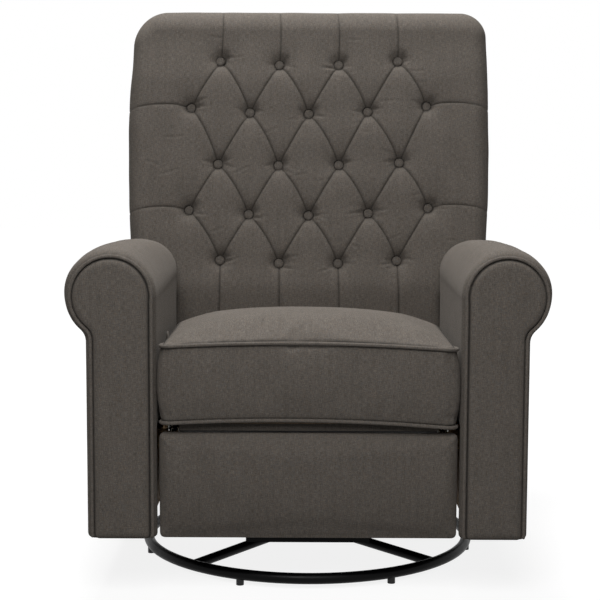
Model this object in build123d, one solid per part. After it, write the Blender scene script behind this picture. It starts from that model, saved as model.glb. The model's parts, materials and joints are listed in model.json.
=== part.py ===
from build123d import *
import math
import os

# A swivel glider recliner, in millimetres. X runs to the right seen from the front, Y to the back and Z up.
# The origin is on the floor, under the middle of the chair's box. Every part is drawn at rest: upright back,
# closed footrest, glider hanging level.

# ---- Driving dimensions: floor ring and swivel
arm_front_y = -455.0            # front plane of the arms
swivel_setback = 400.0          # from that plane back to the swivel axis
ring_radius = 315.0             # to the middle of the ring's round bar
ring_bar = 20.0                 # diameter of that bar
ring_lift = 9.0                 # floor to the underside of the ring
glide_count = 7                 # floor glides under the ring
glide_diameter = 14.0
base_twist = 3.0                # degrees that the base is turned under the chair
cross_bar = 18.0                # diameter of the cross bars
cross_bar_angle = 45.0          # degrees from the front to the first cross bar
hub_plate_radius = 90.0
hub_plate_thick = 6.0
hub_plate_top_z = 46.0
bar_root_radius = 54.0          # the cross bars start this far from the swivel axis
bar_sink = 2.0                  # and run this deep into the hub plate
swivel_plate_side = 180.0
swivel_plate_thick = 3.0
swivel_plate_corner = 12.0
ball_diameter = 8.0
ball_count = 16
ball_circle_radius = 45.0
ball_play = 0.1                 # the balls' play between the swivel plates
cage_thick = 1.5
rivet_radius = 8.0              # centre rivet of the swivel
rivet_head_radius = 14.0
rivet_head_thick = 3.0
hub_bolt_radius = 4.0
hub_bolt_circle = 70.0          # radius on which the hub bolts stand
hub_bolt_stand = 4.0            # the bolts stand out this far under the hub plate
hub_bolt_head = 7.5
hub_bolt_head_thick = 4.0
rivet_room = 3.0                # room round the centre rivet's head in the tray
running_gap = 0.05              # radial clearance of a running pivot
open_gap = 0.4                  # radial clearance of an open pivot
slack = 0.2                     # end play of a headed pin or rivet
through = 200.0                 # longer than any hole is deep

# ---- Driving dimensions: glider
tray_half_width = 115.0
tray_half_depth = 200.0
tray_thick = 3.0
tray_lip = 7.0                  # depth of the lips that stiffen the tray
tower_thick = 4.0
tower_foot = 46.0               # width of a tower at the tray
tower_top_radius = 14.0
tower_wall = 21.0               # height of the wall that joins two towers
glide_pivot_spread = 240.0      # from the front links' pivots to the rear links'
glide_link_length = 125.0
glide_lower_pivot_z = 130.0
glide_link_thick = 4.0
glide_link_width = 24.0
glide_pin_radius = 5.0
glide_head_radius = 9.0
glide_upper_head_thick = 2.5
glide_lower_head_thick = 1.5
layer_gap = 2.0                 # washers' room between neighbouring plates
rail_thick = 4.0
rail_low = 15.0                 # the rails reach this far under their pivots
rail_high = 25.0
cross_tube_radius = 11.0
cross_tube_wall = 1.5
cross_tube_z = 140.0
front_tube_y = -300.0
rear_tube_setback = 82.0        # from the arms' rear ends back to the rear tube
tube_room = 6.0                 # rails and side plates reach this far round the cross tubes

# ---- Driving dimensions: mechanism and footrest
side_plate_inner_x = 240.0
side_plate_thick = 3.5
side_plate_nose = 14.0          # the plates reach this far in front of the drive pivots
side_plate_nose_low = 12.0      # and the nose starts this far under them
side_plate_tail = 60.0          # height of the plates' tail over the rear cross tube
slot_cheek_low = 22.0           # steel under and over the top end of the cam slot
slot_cheek_high = 10.0
slot_cheek_cut = 1.0            # the front rim of the slot is this much thinner
link_half = 84.0                # half the length of each footrest link
link_thick = 3.5
link_width = 16.0
link_layer_gap = 1.5
head_room = 3.5                 # room for rivet heads between the links and the side plate
link_pin_radius = 4.0
link_head_radius = 7.0
link_head_thick = 2.2
drive_pivot_y = -368.0
drive_pivot_z = 293.0
drive_tube_radius = 10.0
drive_tube_wall = 1.5
drive_stub_radius = 5.0
drive_head_radius = 8.0
drive_head_thick = 2.3
near_link_rest = -90.0          # degrees above straight forward, links that hang at rest
far_link_rest = 76.0            # degrees above straight forward, links that cross them
footrest_turn = 85.0            # degrees that the hanging links and the panel turn
far_link_drop = 19.0            # degrees that the crossing links sink meanwhile
slot_play = 0.4                 # radial play of the cam roller in its slot
slot_rim = 4.0
slot_steps = 12
back_pivot_setback = 80.0       # from the arms' rear ends back to the hinge
back_pivot_z = 345.0
back_pin_radius = 6.0
back_tower_radius = 16.0
back_head_radius = 10.0
back_head_thick = 2.5

# ---- Driving dimensions: footrest panel
panel_half_width = 257.0
panel_bottom_z = 113.0
panel_top_z = 293.0
board_setback = 11.0            # from the top footrest pivot forward to the board
board_thick = 10.0
board_margin = 8.0              # the board ends this far inside the pad's edge
pad_thick = 17.0
bracket_flange = 16.0
bracket_thick = 3.0
# slices of the pad from back to front: share of its depth, inset from its edge, corner radius
pad_slices = [(0.0, 0.0, 8.0), (0.5, 0.0, 9.0), (0.82, 3.5, 12.0), (1.0, 16.0, 20.0)]

# ---- Driving dimensions: seat
seat_bottom_z = 312.0
seat_half_width = 254.0
seat_front_y = -447.0
seat_bulge = 6.0                # the front border stands this far out at half height
seat_back_gap = 2.0             # the cushion ends this far in front of the arms' rear ends
seat_welt_z = 441.0
seat_crown_z = 497.0
seat_fall = 28.0                # the crown is this much lower near the back
seat_frame_side = 246.0
seat_frame_inset = 12.0         # from the cushion's front edge to the frame
seat_frame_back_inset = 8.0     # and from its rear edge
seat_band_half = 222.0          # half width of the fabric band under the seat's front rail
seat_band_low_z = 298.0
seat_band_thick = 4.0
seat_rail_thick = 24.0
seat_rail_high = 36.0
seat_bracket_front = 120.0      # from the seat frame's front edge back to a bracket
seat_bracket_rear = 90.0        # and from its rear edge forward to another's front
seat_bracket_long = 40.0
seat_bracket_wide = 34.0
seat_bracket_high = 30.0
seat_bracket_thick = 3.0
spring_wire = 3.6
spring_count = 4
spring_pitch = 30.0
spring_swing = 22.0
spring_bend = 5.0
welt_radius = 3.2
welt_corner = 14.0
welt_gap = 1.0                  # from the cushion's edge to the welt's skin
welt_end = 20.0                 # the welts end this far in front of the cushion's rear

# ---- Driving dimensions: arms
arm_length = 535.0
arm_bottom_z = 112.0
arm_inner_x = 267.5             # inner line of the piping
arm_outer_x = 371.0             # outer line of the piping
roll_centre_x = 336.5
roll_centre_z = 529.0
roll_radius = 69.5              # of the piping round the roll
arm_puff = 7.5                  # the cover stands out past the piping
arm_taper = 13.0                # the roll is this much smaller in radius at the rear
arm_bottom_round = 14.0
arm_neck_round = 12.0
arm_panel_thick = 14.0
arm_panel_crown = 6.0
arm_piping_radius = 3.2
arm_frame_inner_x = 280.0
arm_frame_thick = 18.0
arm_frame_top_z = 500.0
arm_frame_bottom_z = 118.0
arm_inner_lining_z = 306.0      # below this the arm is bare frame on the seat's side
arm_lining_front = 20.0         # and that starts this far behind the front panel
arm_panel_bevel = 35.0          # slope of the front panel's crown, in degrees
arm_lean_z = 472.0              # above this the arm's rear end leans with the back
arm_lean_room = 60.0            # length that the leaning end is cut from
quarter_reach = 120.0           # the arm frames reach this far behind the arms, under the back
quarter_top_z = 285.0
quarter_lining = 5.0            # the cover's cloth over that reach
rear_panel_thick = 15.0
cleat_low_z = 240.0
cleat_high_z = 275.0
cleat_front_y = -300.0
cleat_reach = 10.0              # the cleats reach this far behind the arms
arm_bolt_inset = 30.0           # from the cleats' ends to the outer bolts
arm_bolt_radius = 4.0
arm_bolt_head = 7.0
arm_bolt_head_thick = 3.0

# ---- Driving dimensions: back
back_rake = 12.0                # degrees that the upright back leans
recline_turn = 32.0
back_top_v = 738.0              # along the back, from the hinge to the top of the cushion
back_face_n = -97.0             # square to the back, from the hinge to the face of the cushion
back_edge_n = -58.0             # the same at the cushion's rounded edge
back_rear_n = 138.0
back_frame_n = 40.0
back_frame_thick = 22.0
back_half_width = 382.0         # at the widest
back_low_half_width = 367.0     # at the arms
back_wide_v = 560.0             # where the back is widest
back_wing_v = 115.0             # the wide cushion starts here
back_lower_v = 34.0             # the narrow foot of the cushion starts here
back_lower_half_width = 268.0
back_lower_n = -80.0
back_corner = 50.0
cushion_corner = 34.0
back_shoulder = 110.0           # the flat of the face ends this far inside the edge
back_opening_half = 225.0
back_frame_half = 330.0
back_frame_low_v = 6.0
back_frame_high_v = 690.0
back_opening_low_v = 90.0
back_opening_high_v = 620.0
back_spring_count = 3
back_spring_hold = 12.0         # the springs reach this far over the frame's rails
back_frame_corner = 30.0
back_opening_corner = 20.0
bracket_plate = 4.0
bracket_high_v = 160.0
bracket_wide = 36.0
cover_wall = 8.0
cover_low_v = -50.0
cover_top_gap = 10.0            # the cover ends this far under the cushion's top
cover_return_v = -40.0
cover_return_n = -63.0
flap_length = 120.0
flap_thick = 5.0
flap_half_width = 350.0
flap_drop = 4.0                 # from the back cover's lower edge down to the flap's hem
button_radius = 9.0
button_high = 5.0
button_spacing = 126.0
button_heights = [616.0, 511.0, 396.0, 296.0, 191.0]    # rows of buttons, from the hinge up
button_sags = [9.0, 8.0, 3.0, 6.0, 4.0]                 # how far each row hangs in its middle
button_counts = [4, 5, 4, 5, 4]
tuft_depth = 20.0
tuft_radius = 26.0
pleat_depth = 11.0
pleat_width = 16.0
pleat_flare = 10.0              # a pleat's walls run on this far to each side over the face
pleat_over = 20.0
neighbour_reach = 132.0         # pleats join buttons up to this far apart
top_pleat_end = 45.0            # the top row's pleats end this far under the top
side_pleat_rise = 6.0
tuft_proud = 12.0               # the tufts' cutters start this far over the face
tuft_sides = 8
tuft_face = 2.0                 # the tufts are measured from this far under the face

# ---- Driving dimensions: release
tab_thick = 2.0
tab_gap = 0.4                   # from the upper welt's skin to the tab
tab_corner = 6.0
tab_width = 26.0
tab_y = -250.0
tab_low_z = 395.0
tab_high_z = 447.0
wire_radius = 0.9
wire_low_z = 322.0

# ---- Worked out from them
arm_rear_y = arm_front_y + arm_length
back_pivot_y = arm_rear_y + back_pivot_setback
rear_tube_y = arm_rear_y + rear_tube_setback
quarter_rear_y = arm_rear_y + quarter_reach
cleat_back_y = arm_rear_y + cleat_reach
seat_back_y = arm_rear_y - seat_back_gap
seat_frame_front_y = seat_front_y + seat_frame_inset
seat_frame_back_y = seat_back_y - seat_frame_back_inset
swivel_y = arm_front_y + swivel_setback
ring_z = ring_lift + ring_bar / 2
hub_plate_low_z = hub_plate_top_z - hub_plate_thick
race_low_z = hub_plate_top_z + swivel_plate_thick
race_high_z = race_low_z + ball_diameter
tray_low_z = race_high_z + swivel_plate_thick
tray_top_z = tray_low_z + tray_thick
glide_upper_pivot_z = glide_lower_pivot_z + glide_link_length
glide_front_y = swivel_y - glide_pivot_spread / 2
glide_rear_y = swivel_y + glide_pivot_spread / 2
tower_outer_x = tray_half_width
glide_link_inner_x = tower_outer_x + layer_gap
glide_link_outer_x = glide_link_inner_x + glide_link_thick
rail_inner_x = glide_link_outer_x + layer_gap
rail_outer_x = rail_inner_x + rail_thick
side_plate_outer_x = side_plate_inner_x + side_plate_thick
near_layer_outer_x = side_plate_inner_x - head_room
near_layer_inner_x = near_layer_outer_x - link_thick
far_layer_outer_x = near_layer_inner_x - link_layer_gap
far_layer_inner_x = far_layer_outer_x - link_thick
tray_rear_y = swivel_y + tray_half_depth


def save(name, *shapes):
    """Write one sub-part, which may be a group of separate solids."""
    solids = [solid for shape in shapes for solid in shape.solids()]
    export_step(Compound(solids) if len(solids) > 1 else solids[0], "parts/" + name + ".step")


def plate(outline, x_low, x_high):
    """A flat piece with an outline in the side view (Y, Z), between two distances from the middle."""
    return extrude(Plane.YZ.offset(x_low) * outline, amount=x_high - x_low, dir=(1, 0, 0))


def corners(*points):
    """A flat outline through its corners, always counted the same way round."""
    area = sum(a[0] * b[1] - b[0] * a[1] for a, b in zip(points, points[1:] + points[:1]))
    return Polygon(*(points if area > 0 else points[::-1]), align=None)


def at(y, z):
    """A place in the side view."""
    return Pos(y, z, 0)


def pair(shape):
    """A piece and its mirror image on the other side of the chair."""
    return [shape, mirror(shape, about=Plane.YZ)]


def rod(start, end, radius):
    """A round bar between two points."""
    line = Vector(*end) - Vector(*start)
    return extrude(Plane(origin=start, z_dir=line) * Circle(radius), amount=line.length)


def side_pin(y, z, radius, x_low, x_high):
    """A round pin across the chair."""
    return plate(at(y, z) * Circle(radius), x_low, x_high)


def block(x_low, x_high, y_low, y_high, z_low, z_high):
    """A plain block between two corners."""
    return Pos(x_low, y_low, z_low) * Box(x_high - x_low, y_high - y_low, z_high - z_low,
                                          align=(Align.MIN, Align.MIN, Align.MIN))


def turned(point, angle, distance):
    """The point at a distance from another, in a direction given in degrees above straight forward."""
    return (point[0] - distance * math.cos(math.radians(angle)),
            point[1] + distance * math.sin(math.radians(angle)))


def bar(start, end, width, x_low, x_high, holes):
    """A flat bar with round ends between two pivots, with a hole at each (y, z, radius) of holes."""
    rise = end[1] - start[1]
    run = end[0] - start[0]
    angle = math.degrees(math.atan2(rise, run))
    middle = at((start[0] + end[0]) / 2, (start[1] + end[1]) / 2)
    outline = middle * SlotCenterToCenter(math.hypot(run, rise), width, rotation=angle)
    for y, z, radius in holes:
        outline -= at(y, z) * Circle(radius)
    return plate(outline, x_low, x_high)


def headed_pin(y, z, radius, x_low, x_high, head_radius, head_thick, heads="both"):
    """A pin with flat heads outside its shank's ends."""
    pin = side_pin(y, z, radius, x_low, x_high)
    if heads in ("both", "outer"):
        pin += side_pin(y, z, head_radius, x_high, x_high + head_thick)
    if heads in ("both", "inner"):
        pin += side_pin(y, z, head_radius, x_low - head_thick, x_low)
    return pin


os.makedirs("parts", exist_ok=True)

# ---- Base: ring, glides, cross bars, lower swivel plate
swivel_place = Pos(0, swivel_y, 0) * Rot(0, 0, base_twist)

ring = swivel_place * Pos(0, 0, ring_z) * Torus(ring_radius, ring_bar / 2)
save("base_ring", ring)

glides = []
for index in range(glide_count):
    turn = 360.0 / glide_count * (index + 0.5) - 90.0
    glide = swivel_place * Rot(0, 0, turn) * Pos(ring_radius, 0, 0) * Cylinder(
        glide_diameter / 2, ring_z, align=(Align.CENTER, Align.CENTER, Align.MIN))
    glides += (glide - ring).solids().sort_by(Axis.Z)[:1]
save("floor_glides", *glides)

hub_height = hub_plate_low_z + hub_plate_thick / 2
spider = Pos(0, 0, hub_plate_low_z) * Cylinder(
    hub_plate_radius, hub_plate_thick, align=(Align.CENTER, Align.CENTER, Align.MIN))
for index in range(4):
    turn = math.radians(cross_bar_angle + 90.0 * index)
    outer = (ring_radius * math.cos(turn), ring_radius * math.sin(turn), ring_z)
    inner = (bar_root_radius * math.cos(turn), bar_root_radius * math.sin(turn),
             hub_plate_low_z - cross_bar / 2 + bar_sink)
    spider += rod(outer, inner, cross_bar / 2)
hub_bolt_places = [swivel_place * Rot(0, 0, 90.0 * index) * Pos(hub_bolt_circle, 0, 0) for index in range(4)]
spider = swivel_place * spider - ring
spider -= swivel_place * Pos(0, 0, hub_plate_low_z) * Cylinder(rivet_radius, through)
for place in hub_bolt_places:
    spider -= place * Cylinder(hub_bolt_radius, through)
save("base_cross_bars", spider.solids().sort_by(SortBy.VOLUME)[-1])

lower_plate = swivel_place * Pos(0, 0, hub_plate_top_z) * extrude(
    RectangleRounded(swivel_plate_side, swivel_plate_side, swivel_plate_corner) - Circle(rivet_radius),
    amount=swivel_plate_thick)
for place in hub_bolt_places:
    lower_plate -= place * Cylinder(hub_bolt_radius, through)
save("lower_swivel_plate", lower_plate)

hub_bolts = []
for place in hub_bolt_places:
    shank_low = hub_plate_low_z - hub_bolt_stand
    hub_bolt = place * Pos(0, 0, shank_low) * Cylinder(
        hub_bolt_radius, race_low_z - shank_low, align=(Align.CENTER, Align.CENTER, Align.MIN))
    hub_bolt += place * Pos(0, 0, race_low_z) * extrude(RegularPolygon(hub_bolt_head, 6),
                                                        amount=hub_bolt_head_thick)
    hub_bolts.append(hub_bolt)
save("hub_bolts", *hub_bolts)

centre_rivet = swivel_place * Pos(0, 0, hub_plate_low_z) * Cylinder(
    rivet_radius, tray_low_z + slack - hub_plate_low_z, align=(Align.CENTER, Align.CENTER, Align.MIN))
centre_rivet += swivel_place * Pos(0, 0, tray_low_z + slack) * Cylinder(
    rivet_head_radius, rivet_head_thick, align=(Align.CENTER, Align.CENTER, Align.MIN))
save("centre_rivet", centre_rivet)

# ---- Swivel: ball race, upper plate, glider tray with its towers
balls = []
for index in range(ball_count):
    turn = math.radians(360.0 / ball_count * index)
    ball_place = Pos(ball_circle_radius * math.cos(turn), swivel_y + ball_circle_radius * math.sin(turn),
                     (race_low_z + race_high_z) / 2)
    balls.append(ball_place * Sphere(ball_diameter / 2 - ball_play / 2))
cage_face = Circle(ball_circle_radius + ball_diameter) - Circle(ball_circle_radius - ball_diameter)
cage = Pos(0, swivel_y, (race_low_z + race_high_z - cage_thick) / 2) * extrude(cage_face, amount=cage_thick)
for ball in balls:
    cage -= ball
save("race_balls", *balls)
save("race_cage", cage)

plate_face = RectangleRounded(swivel_plate_side, swivel_plate_side, swivel_plate_corner)
upper_plate = Pos(0, swivel_y, race_high_z) * extrude(plate_face - Circle(rivet_radius + running_gap),
                                                      amount=swivel_plate_thick)
save("upper_swivel_plate", upper_plate)

tray_front_y = swivel_y - tray_half_depth
tray = block(-tray_half_width, tray_half_width, tray_front_y, tray_rear_y, tray_low_z, tray_top_z)
tray -= Pos(0, swivel_y, tray_low_z) * Cylinder(rivet_head_radius + rivet_room, through)
for lip_y in (tray_front_y, tray_rear_y - tray_thick):
    tray += block(-tray_half_width, tray_half_width, lip_y, lip_y + tray_thick, tray_low_z - tray_lip,
                  tray_low_z)
save("glider_tray", tray)

tower_inner_x = tower_outer_x - tower_thick
tower_cheek = block(tower_inner_x, tower_outer_x, tray_front_y, tray_rear_y, tray_top_z,
                    tray_top_z + tower_wall)
for pivot_y in (glide_front_y, glide_rear_y):
    cheek = corners((pivot_y - tower_foot, tray_top_z), (pivot_y + tower_foot, tray_top_z),
                    (pivot_y + tower_top_radius, glide_upper_pivot_z),
                    (pivot_y - tower_top_radius, glide_upper_pivot_z))
    cheek += at(pivot_y, glide_upper_pivot_z) * Circle(tower_top_radius)
    tower_cheek += plate(cheek, tower_inner_x, tower_outer_x)
for pivot_y in (glide_front_y, glide_rear_y):
    tower_cheek -= side_pin(pivot_y, glide_upper_pivot_z, glide_pin_radius, tower_inner_x, tower_outer_x)
save("glider_towers", *pair(tower_cheek))

upper_pins = []
lower_pins = []
for pivot_y in (glide_front_y, glide_rear_y):
    upper_pins += pair(headed_pin(pivot_y, glide_upper_pivot_z, glide_pin_radius, tower_inner_x,
                                  glide_link_outer_x + slack, glide_head_radius, glide_upper_head_thick))
    lower_pins += pair(headed_pin(pivot_y, glide_lower_pivot_z, glide_pin_radius, glide_link_inner_x - slack,
                                  rail_outer_x, glide_head_radius, glide_lower_head_thick))
save("glider_upper_pins", *upper_pins)
save("glider_lower_pins", *lower_pins)


def glide_link(pivot_y, lower_gap):
    """One hanging link of the glider, with the clearance that its lower pivot has."""
    top = (pivot_y, glide_upper_pivot_z)
    foot = (pivot_y, glide_lower_pivot_z)
    return bar(foot, top, glide_link_width, glide_link_inner_x, glide_link_outer_x,
               [(*top, glide_pin_radius + running_gap), (*foot, glide_pin_radius + lower_gap)])


save("front_glide_links", *pair(glide_link(glide_front_y, open_gap)))
save("rear_glide_links", *pair(glide_link(glide_rear_y, running_gap)))

# ---- Chair frame: glider rails, cross tubes, side plates
tube_places = [(front_tube_y, cross_tube_z), (rear_tube_y, cross_tube_z)]
tube_reach = cross_tube_radius + tube_room
rail = block(rail_inner_x, rail_outer_x, front_tube_y - tube_reach, rear_tube_y + tube_reach,
             glide_lower_pivot_z - rail_low, glide_lower_pivot_z + rail_high)
for tube_y, tube_z in tube_places:
    rail -= side_pin(tube_y, tube_z, cross_tube_radius, rail_inner_x, rail_outer_x)
for pivot_y in (glide_front_y, glide_rear_y):
    rail -= side_pin(pivot_y, glide_lower_pivot_z, glide_pin_radius, rail_inner_x, rail_outer_x)
save("glider_rails", *pair(rail))

tube_face = Circle(cross_tube_radius) - Circle(cross_tube_radius - cross_tube_wall)
cross_tubes = []
for tube_y, tube_z in tube_places:
    cross_tubes.append(plate(at(tube_y, tube_z) * tube_face, -side_plate_inner_x, side_plate_inner_x))
save("cross_tubes", *cross_tubes)

drive_pivot = (drive_pivot_y, drive_pivot_z)
slot_points = []
for step in range(slot_steps + 1):
    share = step / slot_steps
    near_angle = near_link_rest + footrest_turn * share
    far_angle = far_link_rest - far_link_drop * share
    crossing = turned(drive_pivot, near_angle, link_half)
    slot_points.append(turned(crossing, far_angle, -link_half))
slot_half = link_pin_radius + slot_play


def beside(points, distance):
    """Points beside a path, at a distance square to it."""
    moved = []
    for index, (y, z) in enumerate(points):
        before = points[max(index - 1, 0)]
        after = points[min(index + 1, len(points) - 1)]
        length = math.dist(before, after)
        aside = (before[1] - after[1], after[0] - before[0])
        moved.append((y + distance * aside[0] / length, z + distance * aside[1] / length))
    return moved


def path_outline(points, half_width):
    """A slot's outline round a curved path."""
    left = beside(points, half_width)
    right = beside(points, -half_width)
    first = beside([points[0], points[1]], half_width)
    last = beside([points[-2], points[-1]], half_width)
    start_turn = math.degrees(math.atan2(points[0][1] - points[1][1], points[1][0] - points[0][0]))
    end_turn = math.degrees(math.atan2(points[-1][1] - points[-2][1], points[-2][0] - points[-1][0]))
    out_start = turned(points[0], start_turn, half_width)
    out_end = turned(points[-1], end_turn, half_width)
    left[0], left[-1] = first[0], last[1]
    right[0] = beside([points[0], points[1]], -half_width)[0]
    right[-1] = beside([points[-2], points[-1]], -half_width)[1]
    edges = Spline(*left) + ThreePointArc(left[-1], out_end, right[-1])
    edges += Spline(*reversed(right)) + ThreePointArc(right[0], out_start, left[0])
    return make_face(edges)


slot_outline = path_outline(slot_points, slot_half)
slot_low = slot_points[0]
slot_high = slot_points[-1]
slot_reach = slot_half + slot_rim
plate_low_z = slot_low[1] - slot_reach
plate_outline = corners(
    (slot_high[0] - slot_reach + slot_cheek_cut, slot_high[1] - slot_cheek_low),
    (slot_high[0] - slot_reach + slot_cheek_cut, slot_high[1] + slot_cheek_high),
    (drive_pivot_y - side_plate_nose, drive_pivot_z - side_plate_nose_low),
    (drive_pivot_y - side_plate_nose, seat_bottom_z),
    (seat_frame_back_y, seat_bottom_z),
    (back_pivot_y - back_tower_radius, back_pivot_z),
    (back_pivot_y + back_tower_radius, back_pivot_z),
    (rear_tube_y + tube_reach, cross_tube_z + side_plate_tail),
    (rear_tube_y + tube_reach, cross_tube_z - tube_reach),
    (slot_low[0] + slot_reach, plate_low_z),
    (slot_low[0] - slot_reach, plate_low_z))
plate_outline += at(back_pivot_y, back_pivot_z) * Circle(back_tower_radius)
plate_outline -= at(back_pivot_y, back_pivot_z) * Circle(back_pin_radius + running_gap)
plate_outline -= at(*drive_pivot) * Circle(drive_stub_radius + running_gap)
plate_outline -= slot_outline
cleat_mid_z = (cleat_low_z + cleat_high_z) / 2
cleat_mid_y = (cleat_front_y + cleat_back_y) / 2
arm_bolt_ys = [cleat_front_y + arm_bolt_inset, cleat_mid_y, cleat_back_y - arm_bolt_inset]
for bolt_y in arm_bolt_ys:
    plate_outline -= at(bolt_y, cleat_mid_z) * Circle(arm_bolt_radius)
side_plate = plate(plate_outline, side_plate_inner_x, side_plate_outer_x)
save("side_plate_right", side_plate)
save("side_plate_left", mirror(side_plate, about=Plane.YZ))

# ---- Footrest links: near links hang, far links cross them; all at their rest angles
near_cross_1 = turned(drive_pivot, near_link_rest, link_half)
near_tip_1 = turned(drive_pivot, near_link_rest, 2 * link_half)
far_start_1 = turned(near_cross_1, far_link_rest, -link_half)
far_tip_1 = turned(near_cross_1, far_link_rest, link_half)
far_tip_2 = turned(near_tip_1, far_link_rest, 2 * link_half)
near_tip_2 = turned(far_tip_1, near_link_rest, 2 * link_half)
cross_2 = turned(near_tip_1, far_link_rest, link_half)
cross_3 = turned(far_tip_2, near_link_rest, link_half)
bracket_tip = turned(far_tip_2, near_link_rest, 2 * link_half)
tight = link_pin_radius
running = link_pin_radius + running_gap
loose = link_pin_radius + open_gap


def near_link(start, end, holes):
    """A link in the layer beside the side plate."""
    return bar(start, end, link_width, near_layer_inner_x, near_layer_outer_x, holes)


def far_link(start, end, holes):
    """A link in the inner layer."""
    return bar(start, end, link_width, far_layer_inner_x, far_layer_outer_x, holes)


def link_rivet(point):
    """A rivet through both layers of links."""
    return headed_pin(*point, link_pin_radius, far_layer_inner_x, near_layer_outer_x, link_head_radius,
                      link_head_thick)


near_link_1 = near_link(drive_pivot, near_tip_1, [(*near_cross_1, tight), (*near_tip_1, tight)])
save("footrest_drive_links", *pair(near_link_1))
save("footrest_drive_rivets", *pair(link_rivet(near_cross_1)), *pair(link_rivet(near_tip_1)))
far_link_1 = far_link(far_start_1, far_tip_1,
                      [(*near_cross_1, running), (*far_tip_1, tight), (*far_start_1, tight)])
save("footrest_cam_links", *pair(far_link_1))
cam_roller = headed_pin(*far_start_1, link_pin_radius, far_layer_inner_x, side_plate_outer_x + slack,
                        link_head_radius, link_head_thick)
save("cam_rollers", *pair(cam_roller), *pair(link_rivet(far_tip_1)))
far_link_2 = far_link(near_tip_1, far_tip_2,
                      [(*near_tip_1, running), (*cross_2, tight), (*far_tip_2, tight)])
save("footrest_lift_links", *pair(far_link_2))
save("footrest_lift_rivets", *pair(link_rivet(cross_2)), *pair(link_rivet(far_tip_2)))
near_link_2 = near_link(far_tip_1, near_tip_2,
                        [(*far_tip_1, running), (*cross_2, loose), (*near_tip_2, tight)])
save("footrest_carrier_links", *pair(near_link_2))
save("footrest_carrier_rivets", *pair(link_rivet(near_tip_2)))
far_link_3 = far_link(near_tip_2, cross_3, [(*near_tip_2, running), (*cross_3, loose)])
save("footrest_stay_links", *pair(far_link_3))

stub = side_pin(*drive_pivot, drive_stub_radius, near_layer_outer_x, side_plate_outer_x + slack)
stub_head_x = side_plate_outer_x + slack
stub += side_pin(*drive_pivot, drive_head_radius, stub_head_x, stub_head_x + drive_head_thick)
drive_ring = at(*drive_pivot) * (Circle(drive_tube_radius) - Circle(drive_tube_radius - drive_tube_wall))
save("drive_tube", plate(drive_ring, -near_layer_inner_x, near_layer_inner_x))
save("drive_stubs", *pair(stub))

board_back_y = far_tip_2[0] - board_setback
board_front_y = board_back_y - board_thick
pad_front_y = board_front_y - pad_thick
bracket = near_link(far_tip_2, bracket_tip, [(*far_tip_2, running), (*cross_3, tight)])
bracket += block(near_layer_inner_x, near_layer_outer_x, board_back_y, far_tip_2[0], bracket_tip[1],
                 far_tip_2[1])
bracket -= side_pin(*far_tip_2, running, near_layer_inner_x, near_layer_outer_x)
bracket -= side_pin(*cross_3, tight, near_layer_inner_x, near_layer_outer_x)
bracket += block(near_layer_inner_x, near_layer_outer_x + bracket_flange, board_back_y,
                 board_back_y + bracket_thick, bracket_tip[1], far_tip_2[1])
save("footrest_brackets", *pair(bracket), *pair(link_rivet(cross_3)))
board_half = panel_half_width - board_margin
board = block(-board_half, board_half, board_front_y, board_back_y, panel_bottom_z + board_margin / 2,
              panel_top_z - board_margin / 2)
save("footrest_board", board)


def front_section(half_width, low, high, y, corner_radius):
    """An upright rounded rectangle across the chair."""
    outline = Pos(0, (low + high) / 2) * RectangleRounded(2 * half_width, high - low, corner_radius)
    return Plane(origin=(0, y, 0), x_dir=(1, 0, 0), z_dir=(0, -1, 0)) * outline


pad_sections = []
for depth_share, inset, corner in pad_slices:
    pad_sections.append(front_section(panel_half_width - inset, panel_bottom_z + inset, panel_top_z - inset,
                                      board_front_y - pad_thick * depth_share, corner))
footrest_pad = loft(pad_sections)
save("footrest_pad", footrest_pad)

# ---- Seat: frame, springs, brackets, crowned cushion with its welts
frame_top_z = seat_bottom_z + seat_rail_high
frame_open_half = seat_frame_side - seat_rail_thick
seat_frame = block(-seat_frame_side, seat_frame_side, seat_frame_front_y, seat_frame_back_y, seat_bottom_z,
                   frame_top_z)
seat_frame -= block(-frame_open_half, frame_open_half, seat_frame_front_y + seat_rail_thick,
                    seat_frame_back_y - seat_rail_thick, seat_bottom_z, frame_top_z)
save("seat_frame", seat_frame)


def zigzag(start, end, swing, pitch, bend):
    """A zigzag path from start to end in a plane, with rounded bends."""
    points = [(0.0, start)]
    place = start + pitch / 2
    side = 1
    while place < end - pitch / 2:
        points += [(side * swing, place - pitch / 4), (side * swing, place + pitch / 4)]
        place += pitch
        side = -side
    points.append((0.0, end))
    return FilletPolyline(*points, radius=bend)


seat_springs = []
for index in range(spring_count):
    spring_x = frame_open_half * (2 * (index + 0.5) / spring_count - 1)
    wave = zigzag(seat_frame_front_y + seat_rail_thick / 2, seat_frame_back_y - seat_rail_thick / 2,
                  spring_swing, spring_pitch, spring_bend)
    section = Plane(origin=wave @ 0, z_dir=wave % 0) * Circle(spring_wire / 2)
    spring = sweep(section, path=wave)
    seat_springs.append(Pos(spring_x, 0, frame_top_z + spring_wire / 2) * spring)
save("seat_springs", *seat_springs)

seat_brackets = []
for bracket_y in (seat_frame_front_y + seat_bracket_front, seat_frame_back_y - seat_bracket_rear):
    bracket_end_y = bracket_y + seat_bracket_long
    foot = block(side_plate_inner_x - seat_bracket_wide, side_plate_inner_x, bracket_y, bracket_end_y,
                 seat_bottom_z - seat_bracket_thick, seat_bottom_z)
    foot += block(side_plate_inner_x - seat_bracket_thick, side_plate_inner_x, bracket_y, bracket_end_y,
                  seat_bottom_z - seat_bracket_high, seat_bottom_z)
    seat_brackets += pair(foot)
save("seat_brackets", *seat_brackets)


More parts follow.
